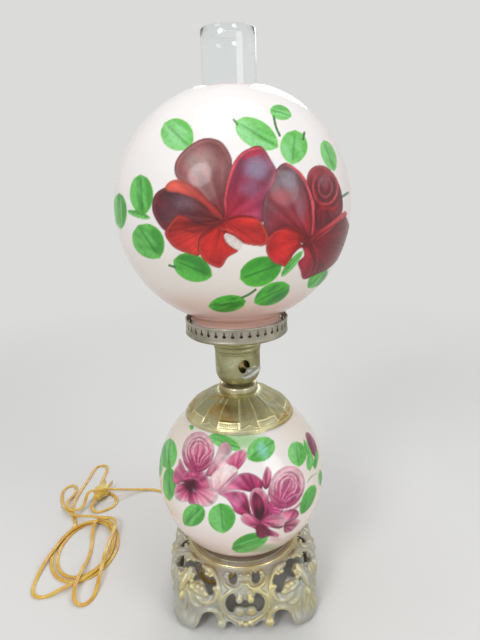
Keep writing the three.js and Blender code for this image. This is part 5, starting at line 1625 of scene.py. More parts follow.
def paint_bud(canvas, centre, half, tilt, light, deep):
    """A round closed bud: nested petals that wrap round one another, with pale edges."""
    centre, half = np.array(centre, float), np.array(half, float)
    cosine, sine = math.cos(tilt), math.sin(tilt)
    tilted = np.array([[cosine, sine], [-sine, cosine]])

    def around(scale, start, end, count, shift=(0, 0)):
        angle = np.linspace(start, end, count)
        ring = np.column_stack([np.cos(angle), np.sin(angle)]) * half * scale
        return ring @ tilted + centre + np.array(shift) * half

    canvas.petal(around(1.0, 0, BUD_ROUND, BUD_POINTS), centre + [0, half[1]],
                 [deep, ROSE_PINK, light, SOFT_PINK], soft=5, rim=PALE_PINK, crease=0.25)
    for scale, shift in BUD_PETALS:
        canvas.petal(around(scale, 0, BUD_ROUND, BUD_POINTS, shift), centre + [0, half[1] * 0.8],
                     [deep, ROSE_PINK, SOFT_PINK], soft=6, rim=PALE_PINK, crease=0.3)
        edge = around(scale, *BUD_EDGE_SPAN, 9, shift)
        canvas.line(edge, 15 * scale + 5, PALE_PINK, soft=6, strength=0.85)
    for start, bend, reach in BUD_FOLDS:
        fold = [(start * 0.5, -reach), (start + bend, -0.12), (start * 0.9, 0.3), (start * 0.4, 0.66)]
        fold = np.array(fold) * half
        canvas.line(fold @ tilted + centre, 15, deep, soft=8, strength=0.5)
        canvas.line((fold + BUD_FOLD_SHIFT) @ tilted + centre, 9, light, soft=6, strength=0.65)


def paint_ball_left_rose(canvas):
    heart = (345, 560)
    canvas.petal([
        (300, 420), (255, 330), (238, 380), (205, 432), (190, 500), (215, 545), (262, 530), (330, 470),
    ], heart, [MAGENTA, ROSE_PINK, SOFT_PINK], soft=6, rim=PALE_PINK)
    canvas.petal([
        (345, 560), (262, 540), (215, 568), (205, 620), (230, 672), (292, 694), (340, 668),
    ], heart, [DARK_HEART, MAGENTA, ROSE_PINK, PALE_PINK], soft=7, rim=PALE_PINK)
    canvas.petal([
        (350, 600), (322, 660), (330, 706), (372, 716), (408, 700), (420, 650),
    ], heart, [WINE, MAGENTA, SOFT_PINK], soft=6, rim=PALE_PINK)
    canvas.petal([
        (380, 560), (396, 660), (420, 722), (500, 728), (560, 684), (572, 620), (520, 580), (450, 560),
    ], heart, [WINE, ROSE_PINK, SOFT_PINK, PALE_PINK], soft=7, rim=(250, 226, 228))
    canvas.petal([
        (345, 560), (262, 500), (300, 440), (380, 420), (460, 450), (505, 520), (516, 590), (440, 600),
    ], heart, [DARK_HEART, MAGENTA, ROSE_PINK, SOFT_PINK], soft=6, rim=PALE_PINK)
    canvas.haze((340, 555), (78, 70), DARK_HEART, 0.95, body=1.0)
    canvas.line([(275, 510), (330, 492), (400, 505), (440, 560)], 10, SOFT_PINK, soft=6, strength=0.5)
    canvas.petal([
        (470, 470), (500, 400), (560, 300), (600, 205), (660, 190), (690, 262), (650, 330), (640, 400),
        (560, 470),
    ], (480, 500), [ROSE_PINK, SOFT_PINK, (240, 196, 204), SOFT_PINK], soft=8, rim=PALE_PINK)
    canvas.petal([
        (640, 352), (700, 290), (770, 252), (822, 282), (800, 352), (742, 420), (700, 400),
    ], (720, 420), [MAGENTA, ROSE_PINK, SOFT_PINK], soft=8, rim=PALE_PINK)
    canvas.petal([
        (500, 520), (560, 430), (650, 382), (728, 400), (742, 452), (690, 500), (620, 560), (560, 612),
    ], (540, 600), [(232, 172, 186), (246, 216, 216), (250, 232, 230)], soft=8, streaks=0.06, crease=0.14)
    canvas.line([(590, 590), (640, 540), (700, 470), (736, 440)], 13, ROSE_PINK, soft=6, strength=0.7)
    canvas.line([(660, 520), (716, 470), (744, 450)], 10, (120, 74, 96), soft=6, strength=0.4)
    paint_bud(canvas, (408, 272), (136, 172), 0.08, (240, 190, 200), MAGENTA)
    canvas.line([(286, 350), (330, 420), (400, 452), (470, 440)], 14, WINE, soft=9, strength=0.4)


def paint_ball_right_rose(canvas):
    canvas.petal([
        (985, 400), (960, 470), (950, 540), (976, 586), (1010, 560), (1030, 460), (1010, 408),
    ], (980, 580), [WINE, ROSE_PINK, SOFT_PINK], soft=6, rim=PALE_PINK)
    canvas.petal([
        (572, 610), (640, 560), (720, 480), (800, 448), (880, 462), (950, 520), (940, 600), (860, 610),
        (780, 596), (700, 592),
    ], (900, 640), [WINE, MAGENTA, (214, 116, 158), SOFT_PINK], soft=6, rim=PALE_PINK)
    canvas.petal([
        (576, 620), (660, 600), (760, 606), (826, 640), (850, 760), (880, 840), (790, 812), (720, 780),
        (690, 720), (640, 660),
    ], (860, 800), [WINE, MAGENTA, (222, 110, 160), (210, 92, 146)], soft=5, rim=PALE_PINK)
    canvas.haze((742, 690), (60, 70), (236, 152, 190), 0.6)
    canvas.line([
        (640, 600), (740, 600), (810, 622), (846, 720), (862, 800),
    ], 11, PALE_PINK, soft=5, strength=0.75)
    canvas.petal([
        (860, 600), (920, 572), (980, 620), (1010, 700), (1006, 800), (960, 880), (900, 860), (870, 790),
        (846, 690),
    ], (920, 860), [WINE, MAGENTA, ROSE_PINK, SOFT_PINK], soft=6, rim=PALE_PINK)
    canvas.petal([
        (884, 612), (930, 640), (964, 700), (970, 770), (940, 846), (902, 836), (880, 760), (866, 680),
    ], (925, 850), [DARK_HEART, DARK_HEART, WINE, (104, 40, 66)], soft=7, crease=0.1)
    canvas.petal([
        (1000, 700), (1080, 690), (1130, 740), (1120, 820), (1050, 850), (1000, 800),
    ], (1000, 760), [MAGENTA, (206, 88, 144), ROSE_PINK], soft=7, rim=PALE_PINK)
    canvas.petal([
        (800, 792), (870, 812), (930, 852), (960, 910), (930, 942), (870, 912), (800, 880), (768, 832),
    ], (940, 900), [WINE, ROSE_PINK, SOFT_PINK], soft=6, rim=PALE_PINK)
    canvas.petal([
        (930, 870), (1000, 812), (1100, 806), (1160, 850), (1130, 902), (1050, 910), (970, 904),
    ], (940, 860), [MAGENTA, ROSE_PINK, SOFT_PINK, PALE_PINK], soft=7, rim=(248, 222, 226))
    canvas.petal([
        (1100, 800), (1160, 762), (1236, 760), (1262, 800), (1220, 850), (1160, 850),
    ], (1240, 750), [WINE, ROSE_PINK, SOFT_PINK], soft=7, rim=PALE_PINK)
    canvas.petal([
        (1140, 880), (1180, 852), (1262, 846), (1258, 880), (1200, 940), (1140, 950),
    ], (1130, 900), [WINE, ROSE_PINK, SOFT_PINK], soft=7, rim=PALE_PINK)
    canvas.petal([
        (900, 900), (960, 890), (1020, 930), (1088, 966), (1080, 992), (1010, 984), (950, 1002), (908, 984),
    ], (940, 900), [WINE, WINE, ROSE_PINK], soft=7, rim=SOFT_PINK)
    canvas.haze((1060, 1010), (60, 26), (226, 172, 188), 0.6)
    paint_bud(canvas, (1158, 572), (146, 188), 0.42, (240, 178, 200), (186, 66, 122))
    canvas.line([(1100, 760), (1180, 752), (1250, 720), (1290, 650)], 20, PALE_PINK, soft=9, strength=0.7)
    canvas.line([(1180, 770), (1240, 742), (1280, 700)], 12, WINE, soft=8, strength=0.5)
    canvas.line([(1030, 906), (1090, 912), (1130, 900)], 16, DARK_HEART, soft=8, strength=0.7)
    canvas.line([(1010, 590), (1000, 680), (1040, 760)], 14, WINE, soft=9, strength=0.4)


SMALL_BUD_LEAVES = [
    (1392, 400, 1302, 160, 44, 0.5), (1396, 420, 1420, 250, 34, 0.6), (1352, 430, 1350, 290, 52, 0.35),
]


def paint_small_bud(canvas):
    canvas.petal([(1318, 122), (1346, 108), (1392, 170), (1414, 240), (1410, 310), (1380, 296), (1346, 230)],
                 (1396, 330), [WINE, (150, 62, 100), (178, 104, 132)], soft=4, rim=SOFT_PINK)
    canvas.leaves(SMALL_BUD_LEAVES)


# As on the globe, the upper leaves, front and rear, are given pale tones, partly a painted sheen.
BALL_FIRST_LEAF = (500, 132, 770, 246, 110, 0.25)
BALL_LEAVES = [
    (150, 420, 172, 152, 138, 0.42), (164, 396, 164, 688, 112, 0.55), (84, 480, 92, 250, 46, 0.50),
    (446, 728, 290, 890, 176, 0.52), (596, 704, 622, 962, 232, 0.38), (692, 1092, 1006, 984, 150, 0.62),
    (1050, 176, 826, 330, 196, 0.30), (1236, 180, 1262, 396, 158, 0.22), (1396, 548, 1278, 800, 100, 0.78),
    (1444, 420, 1442, 560, 34, 0.60), (348, 40, 356, 84, 36, 0.45),
]
REAR_BALL_LEAVES = [
    (180, 330, 60, 250, 120, 0.5), (200, 640, 90, 740, 130, 0.7), (430, 740, 380, 880, 130, 0.8),
    (640, 640, 760, 740, 130, 0.8), (790, 450, 930, 480, 120, 0.6), (690, 230, 800, 130, 110, 0.35),
]


def add_ball():
    glass = Glass(*ball_profile(), BALL_STEP, BALL_REAR_STEP)
    places, shown = glass.canvas_places(BALL_CENTRE, BALL_RADIUS, BALL_CANVAS_ORIGIN, BALL_CANVAS_SCALE)
    canvas = Canvas(places, ball_ground(glass), shown)
    canvas.haze((740, 170), (230, 90), (168, 214, 152), 0.9, body=0.6)
    canvas.leaves([BALL_FIRST_LEAF, *BALL_LEAVES])
    canvas.haze((960, 262), (56, 96), (150, 226, 226), 0.65, turn=-0.4)
    canvas.haze((960, 1090), (190, 46), (120, 168, 110), 0.5, body=0.5)
    canvas.line([(1416, 450), (1370, 478), (1332, 530)], 8, (150, 190, 150), soft=4)
    paint_small_bud(canvas)
    paint_ball_left_rose(canvas)
    paint_ball_right_rose(canvas)
    glass.turn_canvas(canvas, BALL_CENTRE, BALL_RADIUS, BALL_REAR_MIDDLE, BALL_REAR_SCALE)
    canvas.leaves(REAR_BALL_LEAVES)
    paint_ball_left_rose(canvas)
    glass.build("ball_painted", "stand", ball_paint, "font_ball", canvas)


add_ball()


# Fluted cap over the ball
CAP_LOW = 243.06
CAP_TOP = 272.56
CAP_ROWS = 110
CAP_COLUMNS = 576
CAP_REPEAT = math.radians(45)
CAP_PHASE = math.radians(-12)
CAP_SUNK = 0.35
CAP_LINE = [(23, 272.4), (27, 271.5), (33.5, 268.9), (45.5, 262.9), (56, 255.2), (62.2, 248.4), (64.4, 245.2),
            (65, 243.9)]
CAP_RIM = [(64.9, 243.2), (64.5, CAP_LOW), (63.9, CAP_LOW + 0.1)]
CAP_INSIDE = [(62.9, 246), (60.5, 248.2), (54.5, 254), (44.3, 261.4), (32.5, 267.2), (23, 270.9),
              (BORE, 271.36), (BORE, CAP_TOP), (22.6, CAP_TOP)]
PANEL_HALF = math.radians(12.2)
PANEL_EDGE = 0.02
PANEL_DEPTH = 0.45
REED_PITCH = math.radians(2.15)
REED_HEIGHT = 0.34
PETAL_HALF = math.radians(10)
PETAL_DEPTH = 0.3
BORDER_HEIGHT = 0.62
BORDER_WIDTH = 0.020
LINE_WIDTH = 0.012
RAISED_HIGHLIGHT_FULL = 0.5
HOLLOW_FULL = 0.45


def between(share, low, high, fade_low, fade_high):
    """1 between two places along the cap, easing in up to the first and out from the second."""
    return ease(share, low, high) * (1 - ease(share, fade_low, fade_high))


def cap_relief(share, angle):
    """Millimetres of chasing: reeded panels and plain petals in turn, between raised borders."""
    local = (angle - CAP_PHASE + CAP_REPEAT / 2) % CAP_REPEAT - CAP_REPEAT / 2
    side = np.abs(local)
    petal = CAP_REPEAT / 2 - side
    on_panel = 1 - ease(side, PANEL_HALF - PANEL_EDGE, PANEL_HALF + PANEL_EDGE)
    on_petal = 1 - on_panel
    body = between(share, 0.10, 0.16, 0.88, 0.92)
    border = BORDER_HEIGHT * ridge(side - PANEL_HALF, BORDER_WIDTH) * body
    panel_dip = -PANEL_DEPTH * on_panel * body * (1 - ease(share, 0.70, 0.75))
    cross = 0.5 * (ridge(share - 0.755, LINE_WIDTH) + 0.7 * ridge(share - 0.905, LINE_WIDTH)) * on_panel
    reeds = REED_HEIGHT * (0.5 + 0.5 * np.cos(local / REED_PITCH * TURN)) * on_panel
    reeds = reeds * (side < PANEL_HALF * 0.88) * between(share, 0.782, 0.80, 0.87, 0.888)
    foot = 0.885 - 0.09 * ((PETAL_HALF - petal) / PETAL_HALF) ** 2
    petal_dip = -PETAL_DEPTH * on_petal * body * (1 - ease(share, foot - 0.03, foot))
    petal_line = 0.34 * ridge(share - foot, LINE_WIDTH) * on_petal
    vein = 0.16 * ridge(petal, 0.014) * on_petal * body * (1 - ease(share, 0.72, 0.8))
    rim = 0.35 * ridge(share - 0.945, 0.02) + 0.25 * ridge(share - 0.06, 0.02)
    return border + panel_dip + cross + reeds + petal_dip + petal_line + vein + rim


def cap_brass():
    """Gold-washed brass: a painted highlight on the raised lines, brown and olive in the sunk panels."""
    finish = Finish("cap_brass", Metallic=0.8)
    clouds = finish.noise(44, detail=6, roughness=0.66, distortion=0.8)
    stains = finish.noise(24, detail=5, roughness=0.6, distortion=1.4)
    specks = finish.noise(330, detail=3)
    colour = finish.stain(clouds, 0.38, 0.6, (0.58, 0.53, 0.29), (0.37, 0.37, 0.23))
    colour = finish.stain(stains, 0.52, 0.64, colour, (0.42, 0.27, 0.07))
    colour = finish.stain(stains, 0.44, 0.34, colour, (0.50, 0.51, 0.40))
    colour = finish.mix(finish.times(finish.attribute("hollow"), 0.5), colour, (0.30, 0.26, 0.12))
    # Painted highlight: the raised lines turn pale gold.
    colour = finish.mix(finish.times(finish.attribute("edge"), 0.8), colour, (0.78, 0.71, 0.40))
    finish.set("Base Color", finish.stain(specks, 0.63, 0.78, colour, (0.30, 0.22, 0.09)))
    finish.set_roughness(clouds, 0.24, 0.46)
    finish.bump(finish.maths("ADD", specks, clouds), 0.08, 0.35)
    return finish


def add_cap():
    curve = open_curve(CAP_LINE, 14)
    lengths = np.concatenate([[0], np.cumsum(np.linalg.norm(np.diff(curve, axis=0), axis=1))])
    share = np.linspace(0, 1, CAP_ROWS)
    line = np.column_stack([np.interp(share * lengths[-1], lengths, values) for values in curve.T])
    slope = np.gradient(line, axis=0)
    slope /= np.linalg.norm(slope, axis=1)[:, None]
    angle = np.arange(CAP_COLUMNS) * TURN / CAP_COLUMNS
    relief = cap_relief(share[:, None], angle[None, :])
    shell_radius = line[:, :1] - slope[:, 1:] * (relief - CAP_SUNK)
    shell_height = line[:, 1:] + slope[:, :1] * (relief - CAP_SUNK)
    plain = np.array([*CAP_RIM, *CAP_INSIDE])
    radius = np.concatenate([shell_radius, np.repeat(plain[:, :1], CAP_COLUMNS, axis=1)])
    height = np.concatenate([shell_height, np.repeat(plain[:, 1:], CAP_COLUMNS, axis=1)])
    points = np.stack([radius * np.sin(angle), -radius * np.cos(angle), height], axis=-1).reshape(-1, 3)
    relief = np.concatenate([relief, np.zeros((len(plain), CAP_COLUMNS))]).ravel()
    # The edge attribute carries a painted highlight on the raised chasing.
    attributes = {"edge": np.clip(relief / RAISED_HIGHLIGHT_FULL, 0, 1), "hollow": np.clip(-relief / HOLLOW_FULL, 0, 1)}
    faces = grid_faces(len(radius), CAP_COLUMNS, wrap_rows=True)
    cap = add_mesh("cap_chased", points, faces, 60, weld=False, attributes=attributes)
    fit(cap, "stand", "aged_brass", cap_brass(), "vase_cap")


add_cap()

# Cast base: a swelling four-sided shell, pierced and covered with scrolls
BASE_HEIGHT = 72.5
BASE_HALF = 86
BASE_WALL = 5
BASE_EDGE = 0.6
BASE_COLUMNS = 256
BASE_ROWS = 56
BASE_INNER_ROWS = 24
BASE_SHOULDER = 0.925 * BASE_HEIGHT
BASE_INNER_SHOULDER = 0.9 * BASE_HEIGHT
# Rows: height, half width and squareness; height and half width are shares
BASE_SHARES = [
    (0, 0.985, 5.4), (0.045, 1.02, 5.4), (0.11, 1.035, 5.2), (0.28, 0.99, 4.4), (0.5, 1.02, 3.7),
    (0.7, 1.03, 3.1), (0.85, 0.96, 2.5), (0.925, 0.85, 2.15),
]
PLATE_RIM = 62.5
PLATE_UNDER = 68.2
PLATE_OVER = 72.2
# Rows of the round top, from the bead to the plate's underside: half width, squareness and height
BASE_TOP = [
    (69.2, 2.06, 68.5), (66.4, 2, 69.4), (65.6, 2, 69.9), (66.5, 2, 70.3), (66.95, 2, 71.0), (66.8, 2, 71.7),
    (66.2, 2, 72.3), (65.2, 2, BASE_HEIGHT), (63.6, 2, BASE_HEIGHT), (PLATE_RIM, 2, PLATE_OVER),
    (BORE, 2, PLATE_OVER), (BORE, 2, PLATE_UNDER), (PLATE_RIM - 1.2, 2, PLATE_UNDER),
]
CUT_NEAR = 42
CUT_FAR = 104
HOLE_STEPS = 4
ARCH_STEPS = 5


def base_ring(half_width, squareness, height):
    angle = (np.arange(BASE_COLUMNS) + 0.5) * TURN / BASE_COLUMNS
    x, y = np.cos(angle), np.sin(angle)
    radius = half_width / (np.abs(x) ** squareness + np.abs(y) ** squareness) ** (1 / squareness)
    return np.column_stack([radius * x, radius * y, np.full(BASE_COLUMNS, height)])


def base_shape(height):
    """Half width and squareness of the base at a height."""
    half, squareness = table_at(BASE_SHARES, np.array([height / BASE_HEIGHT]))[0]
    return half * BASE_HALF, squareness


def base_level(height, inset=0):
    half, squareness = base_shape(height)
    return base_ring(half - inset, squareness, height)


def base_shell():
    rings = [base_level(height) for height in np.linspace(BASE_EDGE, BASE_SHOULDER, BASE_ROWS)]
    rings += [base_ring(*row) for row in BASE_TOP]
    rings += [base_level(z, BASE_WALL) for z in np.linspace(BASE_INNER_SHOULDER, BASE_EDGE, BASE_INNER_ROWS)]
    rings += [base_level(0, BASE_WALL - BASE_EDGE), base_level(0, BASE_EDGE)]
    faces = grid_faces(len(rings), BASE_COLUMNS, wrap_rows=True)
    shell = add_mesh("base_shell", np.concatenate(rings), faces, 50)
    holes = base_holes()
    for side in range(4):
        direction = front_direction(TURN / 4 * side)
        pierce(shell, [prism(outline, direction, CUT_NEAR, CUT_FAR) for outline in holes], 42)
    return shell


def mirrored(outline):
    return np.array(outline)[::-1] * [-1, 1]


def base_holes():
    """Outlines of one side's piercings, as (across, height)."""
    kidney = [
        (0, 44.6), (3.4, 44.9), (8.4, 46.4), (11.2, 50.4), (15, 53.4), (19.6, 51.4), (22.3, 45.6), (22.4, 37),
        (20.4, 28.4), (16.8, 24.2), (14.2, 24.6), (13.6, 29), (11, 32.6), (7, 33.8), (3, 32.8), (0, 30.8),
    ]
    top = [
        (8.6, 64.4), (9.8, 67.2), (13, 66.6), (16.6, 67.4), (18.2, 64.4), (16.4, 61.6), (12.4, 60.9),
        (9.4, 62),
    ]
    side = [
        (61.4, 62.4), (57, 66.2), (50, 66.6), (44, 66.2), (37.6, 65.6), (33, 62.2), (33.6, 58.8),
        (37, 56.8), (36, 53.6), (37.4, 50.6), (40.6, 50.2), (43.4, 53.4), (45.4, 57.4), (49.4, 60),
        (54, 59.6), (58.6, 58.8),
    ]
    foot = [
        (0, 5.8), (6, 6.6), (11, 8.6), (15.6, 11.8), (20.4, 13.6), (24, 11.4), (28, 9.4), (32.6, 13),
        (35, 20), (39.4, 24.6), (44.4, 24.8), (49.4, 21.4), (52.6, 16.6), (55.6, 11.2), (59.6, 6.2),
        (65, 2.6), (71, 0.6), (77, -1.2), (82, -4),
    ]
    window = closed_curve([*kidney, *mirrored(kidney[1:-1])], HOLE_STEPS)
    top, side = closed_curve(top, HOLE_STEPS), closed_curve(side, HOLE_STEPS)
    under = open_curve([*mirrored(foot[1:]), *foot], ARCH_STEPS)
    return [window, top, mirrored(top), side, mirrored(side), under]


SIDE_KEPT = 0.985
SLOPE_STEP = 0.4
RIDGE_SIDES = 10
SCROLL_STEPS = 7
BUTTON_ROWS = 9
BUTTON_COLUMNS = 16
CURL_TURNS = 1.15
CURL_POINTS = 18
CURL_CLOSED = 0.35
CORNER_OUT = np.array([1.0, -1.0, 0]) / math.sqrt(2)
CORNER_ACROSS = np.array([1.0, 1.0, 0]) / math.sqrt(2)


def face_place(across, height):
    """A point on the front face of the base."""
    half, squareness = base_shape(min(max(height, 0), BASE_SHOULDER))
    kept = min(abs(across), half * SIDE_KEPT)
    return np.array([across, -(half ** squareness - kept ** squareness) ** (1 / squareness), height])


def on_side(across, height, out):
    """A point out from the front face of the base along its normal, and that normal."""
    step_across = face_place(across + SLOPE_STEP, height) - face_place(across - SLOPE_STEP, height)
    step_up = face_place(across, height + SLOPE_STEP) - face_place(across, height - SLOPE_STEP)
    normal = np.cross(step_across, step_up)
    normal /= np.linalg.norm(normal)
    if normal[1] > 0:
        normal = -normal
    return face_place(across, height) + normal * out, normal


def ridge_along(path, radii, normals):
    """A round ridge along a path, with its radii spread evenly over it."""
    angle = np.arange(RIDGE_SIDES) * TURN / RIDGE_SIDES
    ring = np.column_stack([np.cos(angle), np.sin(angle)])
    return tube(path, lambda share: ring * np.interp(share, np.linspace(0, 1, len(radii)), radii), normals)


def scroll(points, radii, lift, steps=SCROLL_STEPS):
    """A half-round ridge along a line of (across, height) on the face, with a radius at each point."""
    line = open_curve(points, steps)
    radius = np.interp(np.linspace(0, 1, len(line)), np.linspace(0, 1, len(radii)), radii)
    placed = [on_side(x, z, r * lift) for (x, z), r in zip(line, radius)]
    return ridge_along([point for point, _ in placed], radii, [normal for _, normal in placed])


def corner_place(away, height):
    """A point in the plane of the front right corner: its distance from the axis, and its height."""
    return CORNER_OUT * away + [0, 0, height]


def corner_scroll(points, radii):
    path = [corner_place(away, height) for away, height in open_curve(points, SCROLL_STEPS)]
    return ridge_along(path, radii, [CORNER_ACROSS] * len(path))


def ball_at(point, radius, normal, flat):
    """A button: a ball that is pressed flat along its normal."""
    side = np.cross(normal, [0, 0, 1.0])
    side /= np.linalg.norm(side)
    up = np.cross(side, normal)
    angles = np.linspace(0, math.pi, BUTTON_ROWS)
    profile = [(radius * math.sin(a), radius * flat * math.cos(a)) for a in angles]
    local = round_points(profile, BUTTON_COLUMNS)
    vertices = point + local[:, :1] * side + local[:, 1:2] * up + local[:, 2:] * normal
    return vertices, grid_faces(BUTTON_ROWS, BUTTON_COLUMNS)


def button(across, height, radius, out, flat=0.75):
    point, normal = on_side(across, height, radius * out)
    return ball_at(point, radius, normal, flat)


def curl(across, height, radius, start, thick=0.28):
    """A scroll's end that winds in on itself, round a small ball."""
    angle = start + np.linspace(0, CURL_TURNS * TURN, CURL_POINTS)
    reach = radius * (1 - thick) * np.linspace(1, CURL_CLOSED, CURL_POINTS)
    line = np.column_stack([across + reach * np.cos(angle), height + reach * np.sin(angle)])
    return [
        button(across, height, radius, 0.1, 0.5), button(across, height, radius * 0.42, 0.9, 0.9),
        scroll(line, [radius * thick, radius * thick * 0.7], 0.9, 2),
    ]


def half_side_scrolls():
    """The scrolls on the right half of one side."""
    window_ridges = [
        scroll([
            (8.4, 54.2), (11.6, 56.4), (18.6, 55.4), (24.8, 50.6), (27.6, 43.4), (26.8, 34), (22.8, 24.6),
            (16.4, 18), (8.4, 14.2), (3.2, 15.4),
        ], [1.4, 2.1, 2.3, 2.3, 2.3, 2.3, 2.2, 2.1, 1.9, 1.3], 0.55),
        scroll([
            (13.6, 54.6), (19, 52.6), (23.2, 46), (23.2, 37.4), (20, 28.4), (14.6, 24),
        ], [0.8, 1.1, 1.2, 1.2, 1.1, 0.8], 0.7),
    ]
    window_drops = [
        button(6.6, 47.6, 4.5, 0.3, 0.9), button(5.2, 51.6, 3.2, 0.3),
        *curl(6.9, 26.6, 6.6, start=1.2, thick=0.32),
    ]
    fan = [button(0, 11.4, 3.6, 0.5, 0.9), scroll([(4, 14.6), (6.6, 12), (8, 8.4)], [1.5, 2.6, 1.4], 0.5)]
    top = [
        scroll([
            (25.4, 65.6), (22.6, 61.8), (17, 59.2), (11, 58.2), (5.6, 59.8), (3.6, 63),
        ], [1.4, 2.0, 2.2, 2.2, 1.8, 1.2], 0.5),
        button(4.4, 66.2, 2.8, 0.5, 0.9), button(19.8, 67.2, 2.9, 0.5, 0.9), button(0, 61.6, 2.2, 0.3),
    ]
    panel_ridge = [
        scroll([
            (49, 67), (43, 67.6), (37, 66.4), (31.4, 63), (29, 57), (29, 50), (31, 42.6), (36, 37.6),
        ], [3.0, 4.0, 3.4, 2.5, 2.2, 2.0, 1.6, 0.9], 0.35),
        button(44, 64.6, 3.2, 0.4, 0.9), button(39.6, 64.2, 2.4, 0.5, 0.9),
    ]
    side_scroll = [
        scroll([
            (57, 47.4), (51, 43), (43.6, 42.2), (36.8, 45.4), (32.6, 51.6), (33.4, 57),
        ], [1.2, 2.2, 2.8, 2.8, 2.4, 1.6], 0.45),
        button(34.6, 58, 3.0, 0.5, 0.9), scroll([(54, 47), (47, 45.6), (41, 48)], [0.8, 1.4, 0.8], 0.6),
        button(44.6, 51.4, 3.4, 0.35), button(49.2, 55.6, 4.2, 0.35), button(54.6, 56.4, 3.8, 0.35),
        scroll([(61.8, 56), (57.6, 52.4), (50.4, 51), (46, 48)], [1.8, 2.6, 2.2, 1.0], 0.35),
    ]
    arch = [
        scroll([
            (27.6, 17.4), (30.4, 25), (36, 30.4), (42.6, 31), (49.6, 27.4), (54.6, 20.4), (58, 12),
            (62.4, 5),
        ], [2.8, 2.7, 2.6, 2.4, 2.2, 2.0, 1.6, 0.8], 0.45),
        *curl(28.2, 12.6, 6.0, start=2.0),
    ]
    foot = [
        scroll([
            (66, 48), (62.6, 40), (58, 35.4), (52.4, 35.4), (50, 38.4), (52.4, 40.4),
        ], [1.2, 2.0, 2.2, 2.0, 1.6, 1.0], 0.45),
        scroll([(66.4, 40), (63.4, 31), (64, 22), (67.4, 13)], [0.9, 1.8, 1.8, 0.7], 0.45),
        scroll([(70, 46), (69.4, 34), (71, 22), (73.4, 12)], [1.2, 2.2, 2.4, 0.9], 0.35),
        scroll([(64.6, 63), (67.4, 56), (68.6, 48)], [2.0, 2.8, 1.8], 0.3), button(62.4, 62.6, 3.0, 0.4),
    ]
    return window_ridges + window_drops + fan + top + panel_ridge + side_scroll + arch + foot


# Balls down the middle of a corner: distance from the axis, height and radius
CORNER_KNOBS = [(89.6, 69, 3.2), (95.8, 66, 3.4), (102, 60, 3.2), (105.4, 53, 2.8), (106.4, 41.4, 3.6)]
# Balls on both sides of a corner: distance from the axis, height, radius and distance from its middle
CORNER_BERRIES = [(91, 65.6, 3.0, 6.4), (95.6, 61, 3.6, 8), (98, 54.4, 3.6, 9), (97, 47.6, 3.0, 8.6)]


def corner_scrolls():
    """Leaves, knobs and foot of one corner."""
    parts = [
        corner_scroll([(84, 66.6), (91, 66.6), (97.6, 62.4), (102.6, 56), (103.4, 49.6)],
                      [2.6, 4.2, 4.8, 4.2, 2.4]),
        corner_scroll([(101, 48), (105.6, 43.4), (105.6, 39.4)], [2.2, 3.4, 2.4]),
        corner_scroll([(100.6, 40), (100.4, 30), (101.6, 20), (104, 11), (103.4, 5)],
                      [2.2, 3.4, 4.2, 5.0, 3.0]),
    ]
    for away, height, radius in CORNER_KNOBS:
        parts.append(ball_at(corner_place(away, height), radius, CORNER_OUT, 1.0))
    for side in (-1, 1):
        for away, height, radius, spread in CORNER_BERRIES:
            place = corner_place(away, height) + CORNER_ACROSS * side * spread
            parts.append(ball_at(place, radius, CORNER_OUT, 0.8))
    return parts


CAST_VOXEL = 1.05
ROUNDING_PASSES = 3
FLOOR_GAP = 0.05
SEAT_BAND_LOW = 67.6
SEAT_RELIEF = 0.75
# The painted bluish reflection on the front right corner: its middle and its reach
SHEEN_MIDDLE = [62, -62, 58]
SHEEN_REACH = [26, 30, 20]
BEAD_RADIUS = 66.6
BEAD_HEIGHT = 71.1
BEAD_THICKNESS = 1.35
BEAD_POINTS = 160


def base_colours(points):
    """Relief, hollow and painted bluish reflection of each point of the casting, from 0 to 1."""
    x, y, z = points.T
    half, squareness = table_at(BASE_SHARES, np.clip(z, 0, BASE_SHOULDER) / BASE_HEIGHT).T
    out = (np.abs(x) ** squareness + np.abs(y) ** squareness) ** (1 / squareness) - half * BASE_HALF
    on_top = z > SEAT_BAND_LOW
    relief = np.where(on_top, SEAT_RELIEF, ease(out, 0.9, 3.4))
    hollow = np.where(on_top, 0, ease(-out, 0.3, 3.2))
    cool = np.exp(-np.sum(((points - SHEEN_MIDDLE) / SHEEN_REACH) ** 2, axis=1))
    return {"relief": relief, "hollow": hollow, "cool": cool}


def cast_together(parts):
    """One skin over overlapping closed meshes, whose inner corners are rounded as in a casting."""
    rough = add_mesh("base_rough", *joined(parts))
    skin = rough.modifiers.new("skin", "REMESH")
    skin.mode = "VOXEL"
    skin.voxel_size = CAST_VOXEL * MM
    rounded = rough.modifiers.new("rounded", "SMOOTH")
    rounded.factor = 0.5
    rounded.iterations = ROUNDING_PASSES
    points, faces = read_back(evaluated(rough))
    bpy.data.objects.remove(rough)
    points[:, 2] = np.clip(points[:, 2], FLOOR_GAP, BASE_HEIGHT)
    return points, faces


